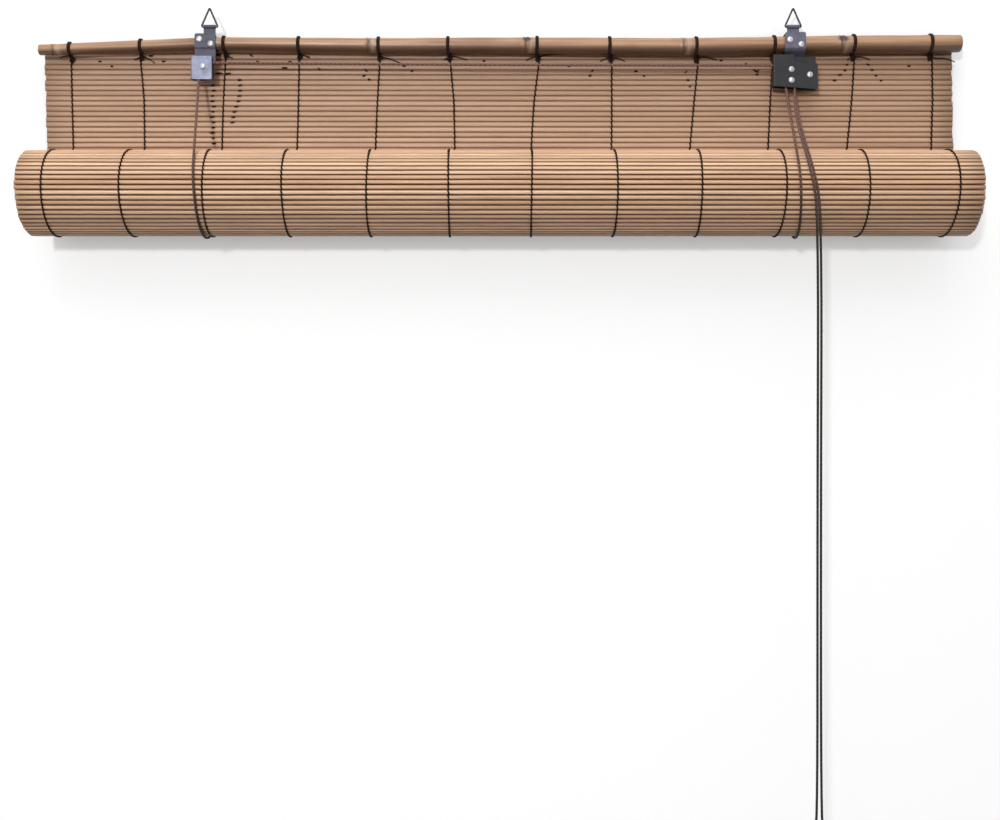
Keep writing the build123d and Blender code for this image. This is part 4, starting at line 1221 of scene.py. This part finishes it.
def camera():
    """The photograph's camera: level, square to the wall, at the height of the picture's middle."""
    lens = bpy.data.cameras.new("camera")
    lens.sensor_width = 36.0
    lens.lens = 36.0 * CAMERA_REACH / PICTURE_WIDTH
    lens.clip_start, lens.clip_end = 0.05, 50
    made = placed("camera", lens)
    made.location = CAMERA_PLACE
    made.rotation_euler = (math.pi / 2, 0, 0)
    bpy.context.scene.camera = made


class BLIND_OT_camera(bpy.types.Operator):
    """Add the camera in front of the blind"""

    bl_idname = "blind.camera"
    bl_label = "Camera"

    def execute(self, context):
        camera()
        return {"FINISHED"}


class BLIND_OT_pull_cords(bpy.types.Operator):
    """Add the two pull cords with their hank, tie and end knot"""

    bl_idname = "blind.pull_cords"
    bl_label = "Pull Cords"

    def execute(self, context):
        pull_cords()
        return {"FINISHED"}


class BLIND_OT_lift_cords(bpy.types.Operator):
    """Add the two lift cords round the mat and the roll"""

    bl_idname = "blind.lift_cords"
    bl_label = "Lift Cords"

    def execute(self, context):
        lift_cords()
        return {"FINISHED"}


class BLIND_OT_slats(bpy.types.Operator):
    """Add the bamboo slats, hanging and rolled up"""

    bl_idname = "blind.slats"
    bl_label = "Slats"

    def execute(self, context):
        slats()
        return {"FINISHED"}


class BLIND_OT_warp_threads(bpy.types.Operator):
    """Add the warp threads with their lashes, tails and woven-in ends"""

    bl_idname = "blind.warp_threads"
    bl_label = "Warp Threads"

    def execute(self, context):
        warp_threads()
        thread_ends()
        return {"FINISHED"}


class BLIND_OT_cane(bpy.types.Operator):
    """Add the bamboo pole"""

    bl_idname = "blind.cane"
    bl_label = "Bamboo Pole"

    def execute(self, context):
        cane()
        return {"FINISHED"}


class BLIND_OT_hangers(bpy.types.Operator):
    """Add the wire rings and the rivets"""

    bl_idname = "blind.hangers"
    bl_label = "Rings and Rivets"

    def execute(self, context):
        hanging_rings()
        rivets()
        return {"FINISHED"}


class BLIND_OT_metal(bpy.types.Operator):
    """Give the straps, housings, pulleys, pawl and rod their finishes"""

    bl_idname = "blind.metal"
    bl_label = "Metal and Plastic"

    def execute(self, context):
        metal_finishes()
        return {"FINISHED"}


class BLIND_OT_stage(bpy.types.Operator):
    """Add the wall, the floor and the lights"""

    bl_idname = "blind.stage"
    bl_label = "Stage"

    def execute(self, context):
        stage()
        return {"FINISHED"}


OPERATORS = (
    BLIND_OT_camera, BLIND_OT_pull_cords, BLIND_OT_lift_cords, BLIND_OT_slats, BLIND_OT_warp_threads,
    BLIND_OT_cane, BLIND_OT_hangers, BLIND_OT_metal, BLIND_OT_stage,
)


class BLIND_PT_panel(bpy.types.Panel):
    """Lists the blind's pieces, sizes and colours"""

    bl_idname = "BLIND_PT_panel"
    bl_label = "Bamboo Roll Up Blind"
    bl_space_type = "VIEW_3D"
    bl_region_type = "UI"
    bl_category = "Blind"

    def draw(self, context):
        for kind in OPERATORS:
            self.layout.operator(kind.bl_idname)
        for group in (context.scene.blind_sizes, context.scene.blind_colours):
            box = self.layout.box()
            for name in group.bl_rna.properties.keys():
                if name not in ("rna_type", "name"):
                    box.prop(group, name)


CLASSES = (BlindSizes, BlindColours, *OPERATORS, BLIND_PT_panel)


def register():
    for kind in CLASSES:
        bpy.utils.register_class(kind)
    bpy.types.Scene.blind_sizes = bpy.props.PointerProperty(type=BlindSizes)
    bpy.types.Scene.blind_colours = bpy.props.PointerProperty(type=BlindColours)


def unregister():
    del bpy.types.Scene.blind_colours
    del bpy.types.Scene.blind_sizes
    for kind in reversed(CLASSES):
        bpy.utils.unregister_class(kind)


def main():
    """Registers the add-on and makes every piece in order."""
    register()
    bpy.ops.blind.camera()
    bpy.ops.blind.pull_cords()
    bpy.ops.blind.lift_cords()
    bpy.ops.blind.slats()
    bpy.ops.blind.warp_threads()
    bpy.ops.blind.cane()
    bpy.ops.blind.hangers()
    bpy.ops.blind.metal()
    bpy.ops.blind.stage()


if __name__ == "__main__":
    main()
